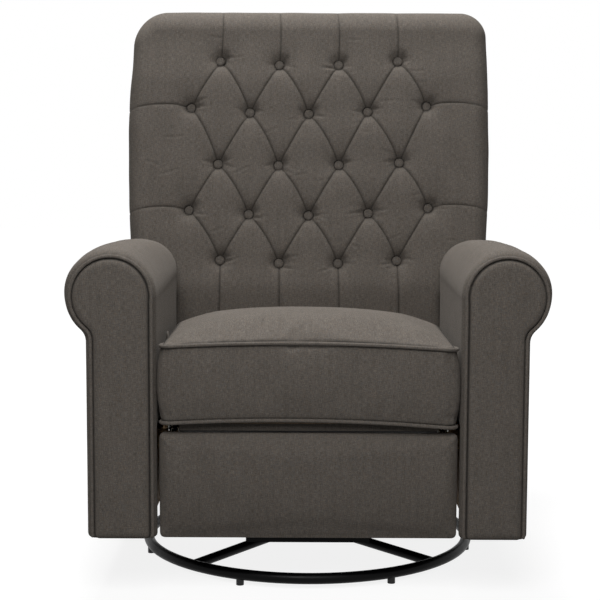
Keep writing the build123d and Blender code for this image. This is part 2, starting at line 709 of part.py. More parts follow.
def seat_section(y, half_width, low, side_top, crown):
    """An upright slice of the seat cushion: straight bottom and sides under a crowned top."""
    outline = Line((-half_width, low), (half_width, low)) + Line((half_width, low), (half_width, side_top))
    outline += ThreePointArc((half_width, side_top), (0, crown), (-half_width, side_top))
    outline += Line((-half_width, side_top), (-half_width, low))
    return Plane(origin=(0, y, 0), x_dir=(1, 0, 0), z_dir=(0, -1, 0)) * make_face(outline)


cushion_half = seat_half_width - welt_radius
welt_step = welt_radius + welt_gap
cushion_bulge_y = seat_front_y - seat_bulge
seat_slices = [
    (cushion_bulge_y, cushion_half - 14.0, seat_bottom_z + 20.0, seat_welt_z - 18.0, seat_welt_z - 15.0),
    (seat_front_y + 0.5, cushion_half - 14.0, seat_bottom_z + 10.5, seat_welt_z - 6.0, seat_welt_z - 5.5),
    (seat_front_y + welt_step, cushion_half - 9.0, seat_bottom_z + 8.0, seat_welt_z, seat_welt_z + 1.0),
    (seat_front_y + 10.0, cushion_half - 3.5, seat_bottom_z + 5.0, seat_welt_z, seat_crown_z - 36.0),
    (seat_front_y + 18.0, cushion_half - 0.2, seat_bottom_z, seat_welt_z, seat_crown_z - 28.0),
    (seat_front_y + 60.0, cushion_half, seat_bottom_z, seat_welt_z + 1.0, seat_crown_z - 9.0),
    (seat_front_y + 150.0, cushion_half, seat_bottom_z, seat_welt_z + 1.0, seat_crown_z),
    (seat_back_y - 70.0, cushion_half, seat_bottom_z, seat_welt_z - 4.0, seat_crown_z - seat_fall),
    (seat_back_y, cushion_half - 6.0, seat_bottom_z, seat_welt_z - 20.0, seat_crown_z - seat_fall - 24.0),
]
seat_cushion = loft([seat_section(*numbers) for numbers in seat_slices], ruled=True)
seat_cushion -= block(-seat_frame_side, seat_frame_side, seat_frame_front_y, seat_back_y + through,
                      seat_bottom_z - through, frame_top_z + spring_wire)
save("seat_cushion", seat_cushion)
seat_front_band = block(-seat_band_half, seat_band_half, seat_frame_front_y,
                        seat_frame_front_y + seat_band_thick, seat_band_low_z, seat_bottom_z)
save("seat_front_band", seat_front_band)


def seat_welt(z):
    """The piping round the front and sides of the seat cushion at one height."""
    side = seat_half_width
    front = seat_front_y
    rear = seat_back_y - welt_end
    path = FilletPolyline((side, rear), (side, front), (-side, front), (-side, rear), radius=welt_corner)
    section = Plane(origin=path @ 0, z_dir=path % 0) * Circle(welt_radius)
    return Pos(0, 0, z) * sweep(section, path=path)


save("seat_welts", seat_welt(seat_welt_z), seat_welt(seat_bottom_z + welt_step))


# ---- Arms: cover with its roll, front panel, piping, frame, cleat and bolts
def arm_outline(out, taper=0.0):
    """The arm seen from the front, standing out from the piping's line, with its roll smaller by a taper."""
    inner = arm_inner_x - out + taper
    outer = arm_outer_x + out
    radius = roll_radius + out - taper
    inner_z = roll_centre_z - math.sqrt(radius ** 2 - (roll_centre_x - inner) ** 2)
    outer_z = roll_centre_z - math.sqrt(radius ** 2 - (outer - roll_centre_x) ** 2)
    low = arm_bottom_z + arm_puff - out
    outline = Line((inner, low), (inner, inner_z))
    outline += ThreePointArc((inner, inner_z), (roll_centre_x, roll_centre_z + radius), (outer, outer_z))
    outline += Line((outer, outer_z), (outer, low)) + Line((outer, low), (inner, low))
    face = make_face(outline)
    neck = face.vertices().sort_by_distance((outer, outer_z))[0]
    face = fillet(neck, arm_neck_round - out / 2)
    return fillet(face.vertices().group_by(Axis.Y)[0], arm_bottom_round)


def across(y):
    """The plane across the chair at a depth, seen from the front, with its normal to the front."""
    return Plane(origin=(0, y, 0), x_dir=(1, 0, 0), z_dir=(0, -1, 0))


cover_front_y = arm_front_y + arm_panel_thick
lean = math.tan(math.radians(back_rake))
cover_end_y = arm_rear_y + arm_lean_room
cover_front = across(cover_front_y) * arm_outline(arm_puff)
cover_rear = across(cover_end_y) * arm_outline(arm_puff, arm_taper)
cover = loft([cover_front, cover_rear], ruled=True)
rear_cut = corners((arm_rear_y, 0), (arm_rear_y, arm_lean_z),
                   (arm_rear_y + lean * through, arm_lean_z + through),
                   (arm_rear_y + through, arm_lean_z + through), (arm_rear_y + through, 0))
cover -= plate(rear_cut, side_plate_inner_x, side_plate_inner_x + through)
frame_outer_x = arm_frame_inner_x + arm_frame_thick
cover -= block(arm_frame_inner_x, frame_outer_x, cover_front_y, cover_end_y, 0, arm_frame_top_z)
cover -= block(0, arm_frame_inner_x, cover_front_y + arm_lining_front, cover_end_y, 0, arm_inner_lining_z)
cover += block(frame_outer_x, frame_outer_x + quarter_lining, arm_rear_y, quarter_rear_y, arm_frame_bottom_z,
               quarter_top_z)
panel_face = arm_outline(-arm_piping_radius)
crown_y = cover_front_y - arm_panel_thick + arm_panel_crown
arm_panel = extrude(across(cover_front_y) * panel_face, amount=cover_front_y - crown_y, dir=(0, -1, 0))
arm_panel += extrude(across(crown_y) * panel_face, amount=arm_panel_crown, taper=arm_panel_bevel)
piping_y = cover_front_y - arm_piping_radius
piping_loop = across(piping_y) * arm_outline(0.0)
piping_floor = arm_bottom_z + arm_puff + arm_bottom_round
piping_wire = Wire([edge for edge in piping_loop.edges() if edge.center().Z > piping_floor])
piping_section = Plane(origin=piping_wire @ 0, z_dir=piping_wire % 0) * Circle(arm_piping_radius)
piping = sweep(piping_section, path=piping_wire)
arm_frame_outline = corners(
    (cover_front_y, arm_frame_bottom_z), (cover_front_y, arm_frame_top_z), (arm_rear_y, arm_frame_top_z),
    (arm_rear_y, quarter_top_z), (quarter_rear_y, quarter_top_z), (quarter_rear_y, arm_frame_bottom_z))
for bolt_y in arm_bolt_ys:
    arm_frame_outline -= at(bolt_y, cleat_mid_z) * Circle(arm_bolt_radius)
arm_frame = plate(arm_frame_outline, arm_frame_inner_x, frame_outer_x)
cleat = block(side_plate_outer_x, arm_frame_inner_x, cleat_front_y, cleat_back_y, cleat_low_z, cleat_high_z)
for bolt_y in arm_bolt_ys:
    cleat -= side_pin(bolt_y, cleat_mid_z, arm_bolt_radius, side_plate_outer_x, arm_frame_inner_x)
for side, name in ((0, "right"), (1, "left")):
    save("arm_cover_" + name, pair(cover)[side])
    save("arm_front_panel_" + name, pair(arm_panel)[side])
    save("arm_piping_" + name, pair(piping)[side])
    save("arm_frame_" + name, pair(arm_frame)[side])
save("arm_cleats", *pair(cleat))
arm_bolts = []
for bolt_y in arm_bolt_ys:
    arm_bolts += pair(headed_pin(bolt_y, cleat_mid_z, arm_bolt_radius, side_plate_inner_x, frame_outer_x,
                                 arm_bolt_head, arm_bolt_head_thick, heads="inner"))
save("arm_bolts", *arm_bolts)
rear_panel = block(-arm_frame_inner_x, arm_frame_inner_x, quarter_rear_y - rear_panel_thick, quarter_rear_y,
                   arm_frame_bottom_z, quarter_top_z)
save("rear_panel", rear_panel)

# ---- Back, drawn upright about its hinge and then leaned
back_place = Pos(0, back_pivot_y, back_pivot_z) * Rot(-back_rake, 0, 0)


def back_section(v, half_width, edge_n, face_n, corner):
    """A level slice of the back cushion: flat rear, straight sides, rounded corners and a crowned face."""
    rear = back_frame_n - bracket_plate
    shoulder = half_width - corner
    flat = half_width - back_shoulder
    outline = Line((-half_width, rear), (half_width, rear))
    outline += Line((half_width, rear), (half_width, edge_n))
    outline += ThreePointArc((half_width, edge_n), (half_width - corner * 0.3, edge_n - corner * 0.7),
                             (shoulder, edge_n - corner))
    outline += Line((shoulder, edge_n - corner), (flat, face_n)) + Line((flat, face_n), (-flat, face_n))
    outline += Line((-flat, face_n), (-shoulder, edge_n - corner))
    outline += ThreePointArc((-shoulder, edge_n - corner),
                             (-half_width + corner * 0.3, edge_n - corner * 0.7), (-half_width, edge_n))
    outline += Line((-half_width, edge_n), (-half_width, rear))
    return Plane(origin=(0, 0, v)) * make_face(outline)


back_slices = [
    (back_wing_v, back_low_half_width, back_edge_n, back_face_n, cushion_corner),
    (back_wide_v, back_half_width, back_edge_n, back_face_n, cushion_corner),
    (back_top_v - 75.0, back_half_width - 2.0, back_edge_n + 4.0, back_face_n + 4.0, cushion_corner),
    (back_top_v - 30.0, back_half_width - 12.0, back_edge_n + 16.0, back_face_n + 18.0, cushion_corner),
    (back_top_v - 7.5, back_half_width - 34.0, back_edge_n + 34.0, back_face_n + 42.0, cushion_corner),
    (back_top_v, back_half_width - 56.0, back_edge_n + 54.0, back_face_n + 64.0, cushion_corner),
]
back_cushion = loft([back_section(*numbers) for numbers in back_slices], ruled=True)
back_cushion += block(-back_lower_half_width, back_lower_half_width, back_lower_n,
                      back_frame_n - bracket_plate, back_lower_v, back_wing_v)

button_places = []
for row_v, row_count, sag in zip(button_heights, button_counts, button_sags):
    for index in range(row_count):
        step = index - (row_count - 1) / 2
        reach = 2 * abs(step) / (row_count - 1)
        button_places.append((step * button_spacing, row_v - sag / 2 + sag * reach ** 2, row_count))
face_level = back_face_n + tuft_face


def groove(start, end):
    """A pleat: a wedge sunk in the face of the back between two places (x, v)."""
    run = math.dist(start, end)
    turn = math.degrees(math.atan2(end[1] - start[1], end[0] - start[0]))
    mouth_half = pleat_width / 2 + pleat_flare
    wedge = corners((-mouth_half, pleat_over), (0, -pleat_depth), (mouth_half, pleat_over))
    middle = Pos((start[0] + end[0]) / 2, face_level, (start[1] + end[1]) / 2)
    place = middle * Rot(0, -turn, 0) * Pos(-run / 2, 0, 0)
    upright = Plane(origin=(0, 0, 0), x_dir=(0, 0, 1), z_dir=(1, 0, 0))
    return place * extrude(upright * wedge, amount=run)


grooves = []
for index, (x, v, count) in enumerate(button_places):
    for other_x, other_v, other_count in button_places[index + 1:]:
        if other_count != count and math.dist((x, v), (other_x, other_v)) < neighbour_reach:
            grooves.append(groove((x, v), (other_x, other_v)))
for x, v, _ in button_places[:button_counts[0]]:
    grooves.append(groove((x, v), (x, back_top_v - top_pleat_end)))
for x, v, _ in button_places[-button_counts[-1]:]:
    grooves.append(groove((x, v), (x, back_lower_v)))
side_pleat_x = back_low_half_width - cushion_corner
for x, v, count in button_places:
    if count == max(button_counts) and abs(x) > 1.5 * button_spacing:
        grooves.append(groove((x, v), (math.copysign(side_pleat_x, x), v + side_pleat_rise)))
pocket_radius = button_radius + 1.0
tuft_flare = (tuft_radius - pocket_radius) / tuft_depth
tufts = []
buttons = []
for x, v, _ in button_places:
    mouth_radius = tuft_radius + tuft_flare * tuft_proud
    mouth = across(face_level - tuft_proud) * Pos(x, v) * RegularPolygon(mouth_radius, tuft_sides)
    floor = across(face_level + tuft_depth) * Pos(x, v) * RegularPolygon(pocket_radius, tuft_sides)
    tufts.append(loft([mouth, floor], ruled=True))
    dome_place = Pos(x, face_level + tuft_depth - button_high, v) * Rot(90, 0, 0)
    dome = dome_place * Cylinder(button_radius, button_high)
    buttons.append(fillet(dome.edges().group_by(Axis.Y)[0], button_high * 0.6))
back_cushion = back_cushion.cut(*grooves, *tufts)
back_cushion = back_cushion.solids().sort_by(SortBy.VOLUME)[-1]
save("back_cushion", back_place * back_cushion)
save("back_buttons", *[back_place * button for button in buttons])


def back_board(low_v, high_v, half_low, half_high, corner):
    """The back's outline seen from the front, in its own plane."""
    outline = corners((-half_low, low_v), (half_low, low_v), (half_high, high_v), (-half_high, high_v))
    top = outline.vertices().group_by(Axis.Y)[-1]
    return fillet(top, corner)


def back_slab(face, n_low, n_high):
    """A flat piece in the back's own plane, between two depths."""
    return extrude(across(n_high) * face, amount=n_high - n_low, dir=(0, -1, 0))


frame_board = back_board(back_frame_low_v, back_frame_high_v, back_frame_half, back_frame_half,
                         back_frame_corner)
frame_opening = Pos(0, (back_opening_low_v + back_opening_high_v) / 2) * RectangleRounded(
    2 * back_opening_half, back_opening_high_v - back_opening_low_v, back_opening_corner)
back_frame = back_slab(frame_board - frame_opening, back_frame_n, back_frame_n + back_frame_thick)
save("back_frame", back_place * back_frame)

back_springs = []
for index in range(back_spring_count):
    spring_share = (index + 0.5) / back_spring_count
    spring_v = back_opening_low_v + (back_opening_high_v - back_opening_low_v) * spring_share
    spring_half = back_opening_half + back_spring_hold
    wave = zigzag(-spring_half, spring_half, spring_swing, spring_pitch, spring_bend)
    spring = sweep(Plane(origin=wave @ 0, z_dir=wave % 0) * Circle(spring_wire / 2), path=wave)
    spring = Rot(90, 0, 0) * Rot(0, 0, 90) * spring
    back_springs.append(back_place * Pos(0, back_frame_n - bracket_plate / 2, spring_v) * spring)
save("back_springs", *back_springs)

bracket_outer_x = side_plate_inner_x - layer_gap
bracket_inner_x = bracket_outer_x - bracket_plate
hinge_outline = corners((-back_tower_radius + 2.0, 0), (back_tower_radius - 2.0, -4.0),
                        (back_frame_n, back_frame_low_v), (back_frame_n, back_lower_v - 4.0),
                        (-4.0, back_lower_v - 8.0))
hinge_outline += Circle(back_tower_radius - 2.0)
hinge_outline -= Circle(back_pin_radius)
hinge_bracket = plate(hinge_outline, bracket_inner_x, bracket_outer_x)
hinge_bracket += block(bracket_inner_x, bracket_outer_x + bracket_wide, back_frame_n - bracket_plate,
                       back_frame_n, back_frame_low_v, bracket_high_v)
save("back_hinge_brackets", *[back_place * shape for shape in pair(hinge_bracket)])
hinge_pin = headed_pin(0, 0, back_pin_radius, bracket_inner_x, side_plate_outer_x + slack, back_head_radius,
                       back_head_thick)
save("back_hinge_pins", *[back_place * shape for shape in pair(hinge_pin)])

cover_front_n = back_frame_n
cover_high_v = back_top_v - cover_top_gap
cover_board = corners((-back_low_half_width, cover_low_v), (back_low_half_width, cover_low_v),
                      (back_half_width, back_wide_v), (back_half_width, cover_high_v),
                      (-back_half_width, cover_high_v), (-back_half_width, back_wide_v))
cover_board = fillet(cover_board.vertices().group_by(Axis.Y)[-1], back_corner)
inner_board = offset(cover_board, -cover_wall)
outer_cover = back_slab(cover_board, cover_front_n, back_rear_n)
outer_cover = fillet(outer_cover.faces().sort_by(Axis.Y)[-1].edges(), cover_wall)
outer_cover -= back_slab(inner_board, cover_front_n - 1.0, back_rear_n - cover_wall)
return_inner_x = back_low_half_width - cover_wall
outer_cover -= block(-return_inner_x, return_inner_x, cover_front_n - 1.0, back_rear_n - cover_wall,
                     cover_low_v - 1.0, cover_low_v + cover_wall + 1.0)
side_return = corners((cover_return_n, cover_return_v), (back_edge_n - 22.0, back_wing_v - 6.0),
                      (cover_front_n, back_wing_v - 6.0), (cover_front_n, cover_return_v))
outer_cover += plate(side_return, return_inner_x, back_low_half_width)
outer_cover += plate(side_return, -back_low_half_width, -return_inner_x)
save("outer_back_cover", back_place * outer_cover)

flap_n = back_rear_n - flap_thick
flap_v = cover_low_v - flap_drop
rake = math.radians(back_rake)
flap_y = back_pivot_y + flap_n * math.cos(rake) + flap_v * math.sin(rake)
flap_z = back_pivot_z - flap_n * math.sin(rake) + flap_v * math.cos(rake)
rear_flap = block(-flap_half_width, flap_half_width, flap_y - flap_thick / 2, flap_y + flap_thick / 2,
                  flap_z - flap_length, flap_z)
rear_flap += side_pin(flap_y, flap_z, flap_thick / 2, -flap_half_width, flap_half_width)
save("rear_flap", rear_flap)

# ---- Release: pull tab between the seat and the viewer's left arm, and its wire
tab_x = -seat_half_width - welt_radius - tab_gap
release_tab = block(tab_x - tab_thick, tab_x, tab_y - tab_width / 2, tab_y + tab_width / 2, tab_low_z,
                    tab_high_z)
release_tab = fillet(release_tab.edges().filter_by(Axis.X), tab_corner)
save("release_tab", release_tab)
wire_x = tab_x - tab_thick / 2
release_wire = rod((wire_x, tab_y, wire_low_z), (wire_x, tab_y, tab_low_z), wire_radius)
save("release_wire", release_wire)

print("back pivot", back_pivot_y, back_pivot_z, "flap hinge", round(flap_y, 3), round(flap_z, 3))
print("footrest pivots", drive_pivot, near_cross_1, near_tip_1, far_tip_1, far_tip_2, near_tip_2)
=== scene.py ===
# %% [markdown]
# # A swivel glider recliner, dressed for its picture
#
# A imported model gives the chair's frame: steel, plywood, plain solids where the
# padding is, and the joints that move them. This lesson lays cloth, padding, paint
# and wood over that frame, piece by piece, so that the chair looks like the real one
# from every side and at every pose. All lengths are worked in millimetres, as an
# upholsterer would, and are turned into metres when a mesh is made.

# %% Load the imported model
import json
import math

import bmesh
import bpy
import numpy as np
from mathutils import Matrix, Vector, noise


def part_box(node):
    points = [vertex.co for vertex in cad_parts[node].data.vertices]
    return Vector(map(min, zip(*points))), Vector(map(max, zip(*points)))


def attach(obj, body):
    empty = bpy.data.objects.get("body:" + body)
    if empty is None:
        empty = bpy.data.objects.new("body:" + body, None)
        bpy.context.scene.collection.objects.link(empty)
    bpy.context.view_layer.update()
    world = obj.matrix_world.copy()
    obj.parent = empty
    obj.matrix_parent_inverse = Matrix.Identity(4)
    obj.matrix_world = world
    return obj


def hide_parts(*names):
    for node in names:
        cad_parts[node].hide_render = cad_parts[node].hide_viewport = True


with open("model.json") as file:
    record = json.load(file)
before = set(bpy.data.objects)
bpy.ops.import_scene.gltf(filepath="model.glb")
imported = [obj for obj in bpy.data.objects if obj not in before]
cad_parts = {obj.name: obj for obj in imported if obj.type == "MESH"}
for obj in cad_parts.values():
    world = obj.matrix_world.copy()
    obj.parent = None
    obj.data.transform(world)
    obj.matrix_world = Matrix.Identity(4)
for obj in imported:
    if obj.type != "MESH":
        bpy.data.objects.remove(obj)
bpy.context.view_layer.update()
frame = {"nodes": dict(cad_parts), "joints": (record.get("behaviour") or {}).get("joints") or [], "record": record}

MM = 0.001
QUARTER_TURN = math.pi / 2
FAR = 1e9
scene = bpy.context.scene
joints = {joint["name"]: joint for joint in frame["joints"]}

# %% [markdown]
# ## Camera
#
# The picture was taken from a little above the arms, looking slightly down, with a
# fairly long lens. The camera is built from three directions at right angles: the way
# it looks, the way that is up in the picture and the way that is right in it. That
# keeps its small turn and tilt plain to read.

# %% Camera
CAMERA_PLACE = (-8.0, -2810.7, 766.7)
PITCH, TURN, ROLL = (math.radians(angle) for angle in (5.823, 0.174, -0.197))
LENS_PIXELS, PICTURE_PIXELS = 1405.6, 600.0
SENSOR_WIDTH = 36.0

level = Vector((-math.sin(TURN), math.cos(TURN), 0.0))
side = Vector((math.cos(TURN), math.sin(TURN), 0.0))
view = level * math.cos(PITCH) - Vector((0, 0, 1)) * math.sin(PITCH)
upward = side.cross(view)
picture_right = side * math.cos(ROLL) - upward * math.sin(ROLL)
picture_up = side * math.sin(ROLL) + upward * math.cos(ROLL)

camera_data = bpy.data.cameras.new("picture_camera")
camera_data.sensor_width = SENSOR_WIDTH
camera_data.lens = LENS_PIXELS / PICTURE_PIXELS * SENSOR_WIDTH
camera = bpy.data.objects.new("picture_camera", camera_data)
scene.collection.objects.link(camera)
turn = Matrix((picture_right, picture_up, -view)).transposed().to_4x4()
camera.matrix_world = Matrix.Translation(Vector(CAMERA_PLACE) * MM) @ turn
scene.camera = camera
print("camera lens", round(camera_data.lens, 1), "mm")

# %% [markdown]
# ## Node tools
#
# Every look in this scene is a small net of shader nodes. One function adds a node,
# sets it up and feeds its inputs, so that a material reads as a list of what goes where.

# %% Node tools
WHITE = (1.0, 1.0, 1.0, 1.0)


def add_node(tree, kind, inputs=None, **settings):
    """Adds a shader node, sets it up and feeds its inputs with sockets or plain values."""
    node = tree.nodes.new("ShaderNode" + kind)
    for name, value in settings.items():
        setattr(node, name, value)
    for name, value in (inputs or {}).items():
        if isinstance(value, bpy.types.NodeSocket):
            tree.links.new(value, node.inputs[name])
        else:
            node.inputs[name].default_value = value
    return node


def maths(tree, operation, *values):
    """A Math node fed by sockets or plain numbers."""
    return add_node(tree, "Math", dict(enumerate(values)), operation=operation).outputs[0]


def ranged(tree, value, low, high, to_low, to_high, **settings):
    """A number between low and high, laid on a new range."""
    inputs = {"Value": value, "From Min": low, "From Max": high, "To Min": to_low, "To Max": to_high}
    return add_node(tree, "MapRange", inputs, **settings).outputs[0]


def noise_level(tree, place, scale, detail, distortion=0.0, **settings):
    """How strong a cloudy noise is at a place."""
    inputs = {"Vector": place, "Scale": scale, "Detail": detail, "Distortion": distortion}
    return add_node(tree, "TexNoise", inputs, **settings).outputs["Fac"]


def ramp(tree, source, *stops):
    """A colour ramp through (place, colour) stops."""
    node = add_node(tree, "ValToRGB", {"Fac": source})
    while len(node.color_ramp.elements) < len(stops):
        node.color_ramp.elements.new(0.5)
    for element, (place, colour) in zip(node.color_ramp.elements, stops):
        element.position = place
        element.color = (*colour, 1.0)
    return node.outputs["Color"]


def relief(tree, height, strength, distance):
    """A normal tilted by a fine height."""
    return add_node(tree, "Bump", {"Height": height, "Strength": strength, "Distance": distance}).outputs[0]


def mixed_colour(tree, share, first, second, **settings):
    """Two colours mixed by a share."""
    inputs = {"Factor": share, "A": first, "B": second}
    return add_node(tree, "Mix", inputs, data_type="RGBA", **settings).outputs["Result"]


def new_material(name):
    """An empty node material: returns it with its node tree and its texture coordinates."""
    material = bpy.data.materials.new(name)
    material.use_nodes = True
    material.node_tree.nodes.clear()
    return material, material.node_tree, add_node(material.node_tree, "TexCoord").outputs


def principled(tree, inputs):
    """Ends a material with a principled shader."""
    shader = add_node(tree, "BsdfPrincipled", inputs)
    add_node(tree, "OutputMaterial", {"Surface": shader.outputs[0]})


print("node tools ready")

# %% [markdown]
# ## Light
#
# The chair stands in soft light that falls mostly from above and in front: the seat
# and the tops of the arms are bright, and the footrest gets dimmer towards the floor.
# A lamp overhead gives that fall, a weaker one lights the front, and an even world
# keeps the shadows open. View transform Standard shows a colour about as it is written.

# %% Light
scene.view_settings.view_transform = "Standard"


def soft_lamp(name, place, target, size, watts):
    """A square area lamp at a place in metres, turned to a target."""
    data = bpy.data.lights.new(name, "AREA")
    data.shape = "SQUARE"
    data.size = size
    data.energy = watts
    lamp = bpy.data.objects.new(name, data)
    scene.collection.objects.link(lamp)
    lamp.location = place
    lamp.rotation_euler = (Vector(target) - Vector(place)).to_track_quat("-Z", "Y").to_euler()


soft_lamp("overhead_lamp", (-0.15, 0.28, 3.2), (0.0, -0.1, 0.5), 1.2, 94.0)
soft_lamp("front_lamp", (-0.15, -2.25, 1.95), (0.0, -0.3, 0.5), 1.3, 42.0)

WORLD_LEVEL = 0.07
scene.world = bpy.data.worlds.new("studio")
scene.world.use_nodes = True
tree = scene.world.node_tree
tree.nodes.clear()
rays = add_node(tree, "LightPath").outputs
seen = maths(tree, "MAXIMUM", rays["Is Camera Ray"], rays["Is Glossy Ray"])
seen = maths(tree, "MAXIMUM", seen, rays["Is Transmission Ray"])
even_light, seen_white = (add_node(tree, "Background", {"Color": WHITE, "Strength": strength}).outputs[0]
                          for strength in (WORLD_LEVEL, 1.0))
mixed = add_node(tree, "MixShader", {"Fac": seen, 1: even_light, 2: seen_white})
add_node(tree, "OutputWorld", {"Surface": mixed.outputs[0]})
print("lamps and an even world at", WORLD_LEVEL)

# %% [markdown]
# ## Floor
#
# The floor is a big pale sheet. Seen by the camera it is nearly white, so it runs into
# the background, and what the chair shades on it stays as a soft shadow. The trick is
# in its material: a white of its own is added for camera rays and mirrored ones only,
# a little stronger far out, so that the light on the chair doesn't change.

# %% Floor
FLOOR_REACH = 12.0
FLOOR_GLOW = 0.86
GLOW_GROWS_FROM, GLOW_FULL_FROM = 0.7, 2.4

floor_mesh = bpy.data.meshes.new("studio_floor")
corners = [(x * FLOOR_REACH, y * FLOOR_REACH, 0) for x, y in ((-1, -1), (1, -1), (1, 1), (-1, 1))]
floor_mesh.from_pydata(corners, [], [(0, 1, 2, 3)])
studio_floor = bpy.data.objects.new("studio_floor", floor_mesh)
scene.collection.objects.link(studio_floor)
floor_paint, tree, place = new_material("floor_white")
away = add_node(tree, "VectorMath", {0: place["Object"]}, operation="LENGTH").outputs["Value"]
growing = ranged(tree, away, GLOW_GROWS_FROM, GLOW_FULL_FROM, FLOOR_GLOW, 1.0,
                 interpolation_type="SMOOTHSTEP")
rays = add_node(tree, "LightPath").outputs
seen = maths(tree, "MAXIMUM", rays["Is Camera Ray"], rays["Is Glossy Ray"])
principled(tree, {"Base Color": (0.24, 0.24, 0.24, 1.0), "Roughness": 0.9, "Specular IOR Level": 0.0,
                  "Emission Color": WHITE, "Emission Strength": maths(tree, "MULTIPLY", seen, growing)})
floor_mesh.materials.append(floor_paint)
print("floor laid")

# %% [markdown]
# ## Cloth
#
# The cover is a linen-look weave in a warm dark grey. Close to, its threads differ in
# thickness and shade: short pale and dark slubs run up and down, fainter ones across,
# and a grain of single threads lies over both. A noise that is stretched along a thread
# draws a slub. The pattern is laid on by position from three sides and mixed by the way
# the surface faces, so it needs no unwrapping and never swims when a piece moves. A
# number that each point may carry, its crease shade, darkens the cloth with painted shade
# deep in a fold or seam.

# %% Cloth pattern
THREAD_PITCH = 0.0011
WEAVE_HEIGHT = 0.3
# Threads per metre across and up, fineness, a shift that tells them apart, and strength.
SLUBS = ((880.0, 120.0, 2.0, 0.0, 0.25), (120.0, 880.0, 2.0, 31.0, 0.23), (1250.0, 1250.0, 1.0, 57.0, 0.46),
         (210.0, 11.0, 1.0, 83.0, 0.06))


def cloth_pattern_group():
    """A node group: from a flat place in metres to a shade and a height of woven cloth."""
    group = bpy.data.node_groups.new("woven_pattern", "ShaderNodeTree")
    sockets = (("Place", "INPUT", "Vector"), ("Shade", "OUTPUT", "Float"), ("Height", "OUTPUT", "Float"))
    for name, way, kind in sockets:
        group.interface.new_socket(name, in_out=way, socket_type="NodeSocket" + kind)
    place = group.nodes.new("NodeGroupInput").outputs["Place"]
    shade = 0.0
    for across, up, detail, shift, strength in SLUBS:
        stretched = add_node(group, "Mapping", {"Vector": place, "Scale": (across, up, 1.0),
                                                "Location": (shift, shift * 0.37, 0.0)})
        level = noise_level(group, stretched.outputs[0], 1.0, detail, noise_dimensions="2D")
        shade = maths(group, "MULTIPLY_ADD", level, strength, shade)
    split = add_node(group, "SeparateXYZ", {0: place}).outputs
    warp, weft = (maths(group, "SINE", maths(group, "MULTIPLY", split[axis], 2 * math.pi / THREAD_PITCH))
                  for axis in "XY")
    height = maths(group, "MULTIPLY_ADD", maths(group, "MULTIPLY", warp, weft), WEAVE_HEIGHT, shade)
    result = group.nodes.new("NodeGroupOutput")
    group.links.new(shade, result.inputs["Shade"])
    group.links.new(height, result.inputs["Height"])
    return group


woven_pattern = cloth_pattern_group()
print("woven pattern with", len(woven_pattern.nodes), "nodes")

# %% Cloth material
# Painted shade: the near-black mixed into the cloth where a fold or seam would be in shadow.
CREASE_SHADE_COLOUR = (0.011, 0.01, 0.009, 1.0)
COOL_TINT, WARM_TINT = (0.86, 0.95, 1.06), (1.1, 0.98, 0.88)
SHEEN_TINT = (0.75, 0.7, 0.64, 1.0)


def from_three_sides(tree, place):
    """The pattern seen from the side, the front and above, mixed by the way a face looks."""
    split = add_node(tree, "SeparateXYZ", {0: place["Object"]}).outputs
    facing = add_node(tree, "SeparateXYZ", {0: place["Normal"]}).outputs
    weights = [maths(tree, "POWER", maths(tree, "ABSOLUTE", facing[axis]), 4.0) for axis in "XYZ"]
    total = maths(tree, "ADD", maths(tree, "ADD", weights[0], weights[1]), weights[2])
    shade = height = 0.0
    for weight, (across, up) in zip(weights, ("YZ", "XZ", "XY")):
        flat = add_node(tree, "CombineXYZ", {"X": split[across], "Y": split[up]}).outputs[0]
        drawn = add_node(tree, "Group", {"Place": flat}, node_tree=woven_pattern).outputs
        share = maths(tree, "DIVIDE", weight, total)
        shade = maths(tree, "MULTIPLY_ADD", drawn["Shade"], share, shade)
        height = maths(tree, "MULTIPLY_ADD", drawn["Height"], share, height)
    return shade, height


def cloth_material(name, dark, middle, light, bump):
    """The woven cover cloth between three tones."""
    material, tree, place = new_material(name)
    shade, height = from_three_sides(tree, place)
    clouds = maths(tree, "SUBTRACT", noise_level(tree, place["Object"], 26.0, 3.0), 0.5)
    tone = ramp(tree, maths(tree, "MULTIPLY_ADD", clouds, 0.06, shade),
                (0.36, dark), (0.5, middle), (0.64, light))
    tint = ramp(tree, noise_level(tree, place["Object"], 700.0, 1.0),
                (0.38, COOL_TINT), (0.5, WHITE[:3]), (0.62, WARM_TINT))
    tinted = mixed_colour(tree, 0.6, tone, tint, blend_type="MULTIPLY")
    # Painted shade: each point's crease shade mixes the cloth towards a near-black.
    crease_shade = add_node(tree, "Attribute", attribute_name="crease_shade").outputs["Fac"]
    principled(tree, {"Base Color": mixed_colour(tree, crease_shade, tinted, CREASE_SHADE_COLOUR),
                      "Normal": relief(tree, height, bump, 0.0006),
                      "Roughness": 0.92, "Specular IOR Level": 0.12, "Sheen Weight": 0.07,
                      "Sheen Roughness": 0.45, "Sheen Tint": SHEEN_TINT})
    return material


linen = cloth_material("linen_weave", (0.059, 0.052, 0.045), (0.106, 0.093, 0.08), (0.172, 0.152, 0.133),
                       0.25)
piping_linen = cloth_material("piping_linen", (0.062, 0.054, 0.047), (0.11, 0.097, 0.084),
                              (0.175, 0.155, 0.136), 0.2)
print("cloth materials:", linen.name, piping_linen.name)

# %% [markdown]
# ## Paint, steel, wood and nylon
#
# The floor ring and the mechanism are black powder-coated steel, which has a fine
# orange-peel skin and a soft highlight. Pins and rivets are zinc plated, springs are
# oil-dark wire, and the hidden frame is plywood with its layers showing on the edges.
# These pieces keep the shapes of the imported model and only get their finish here.

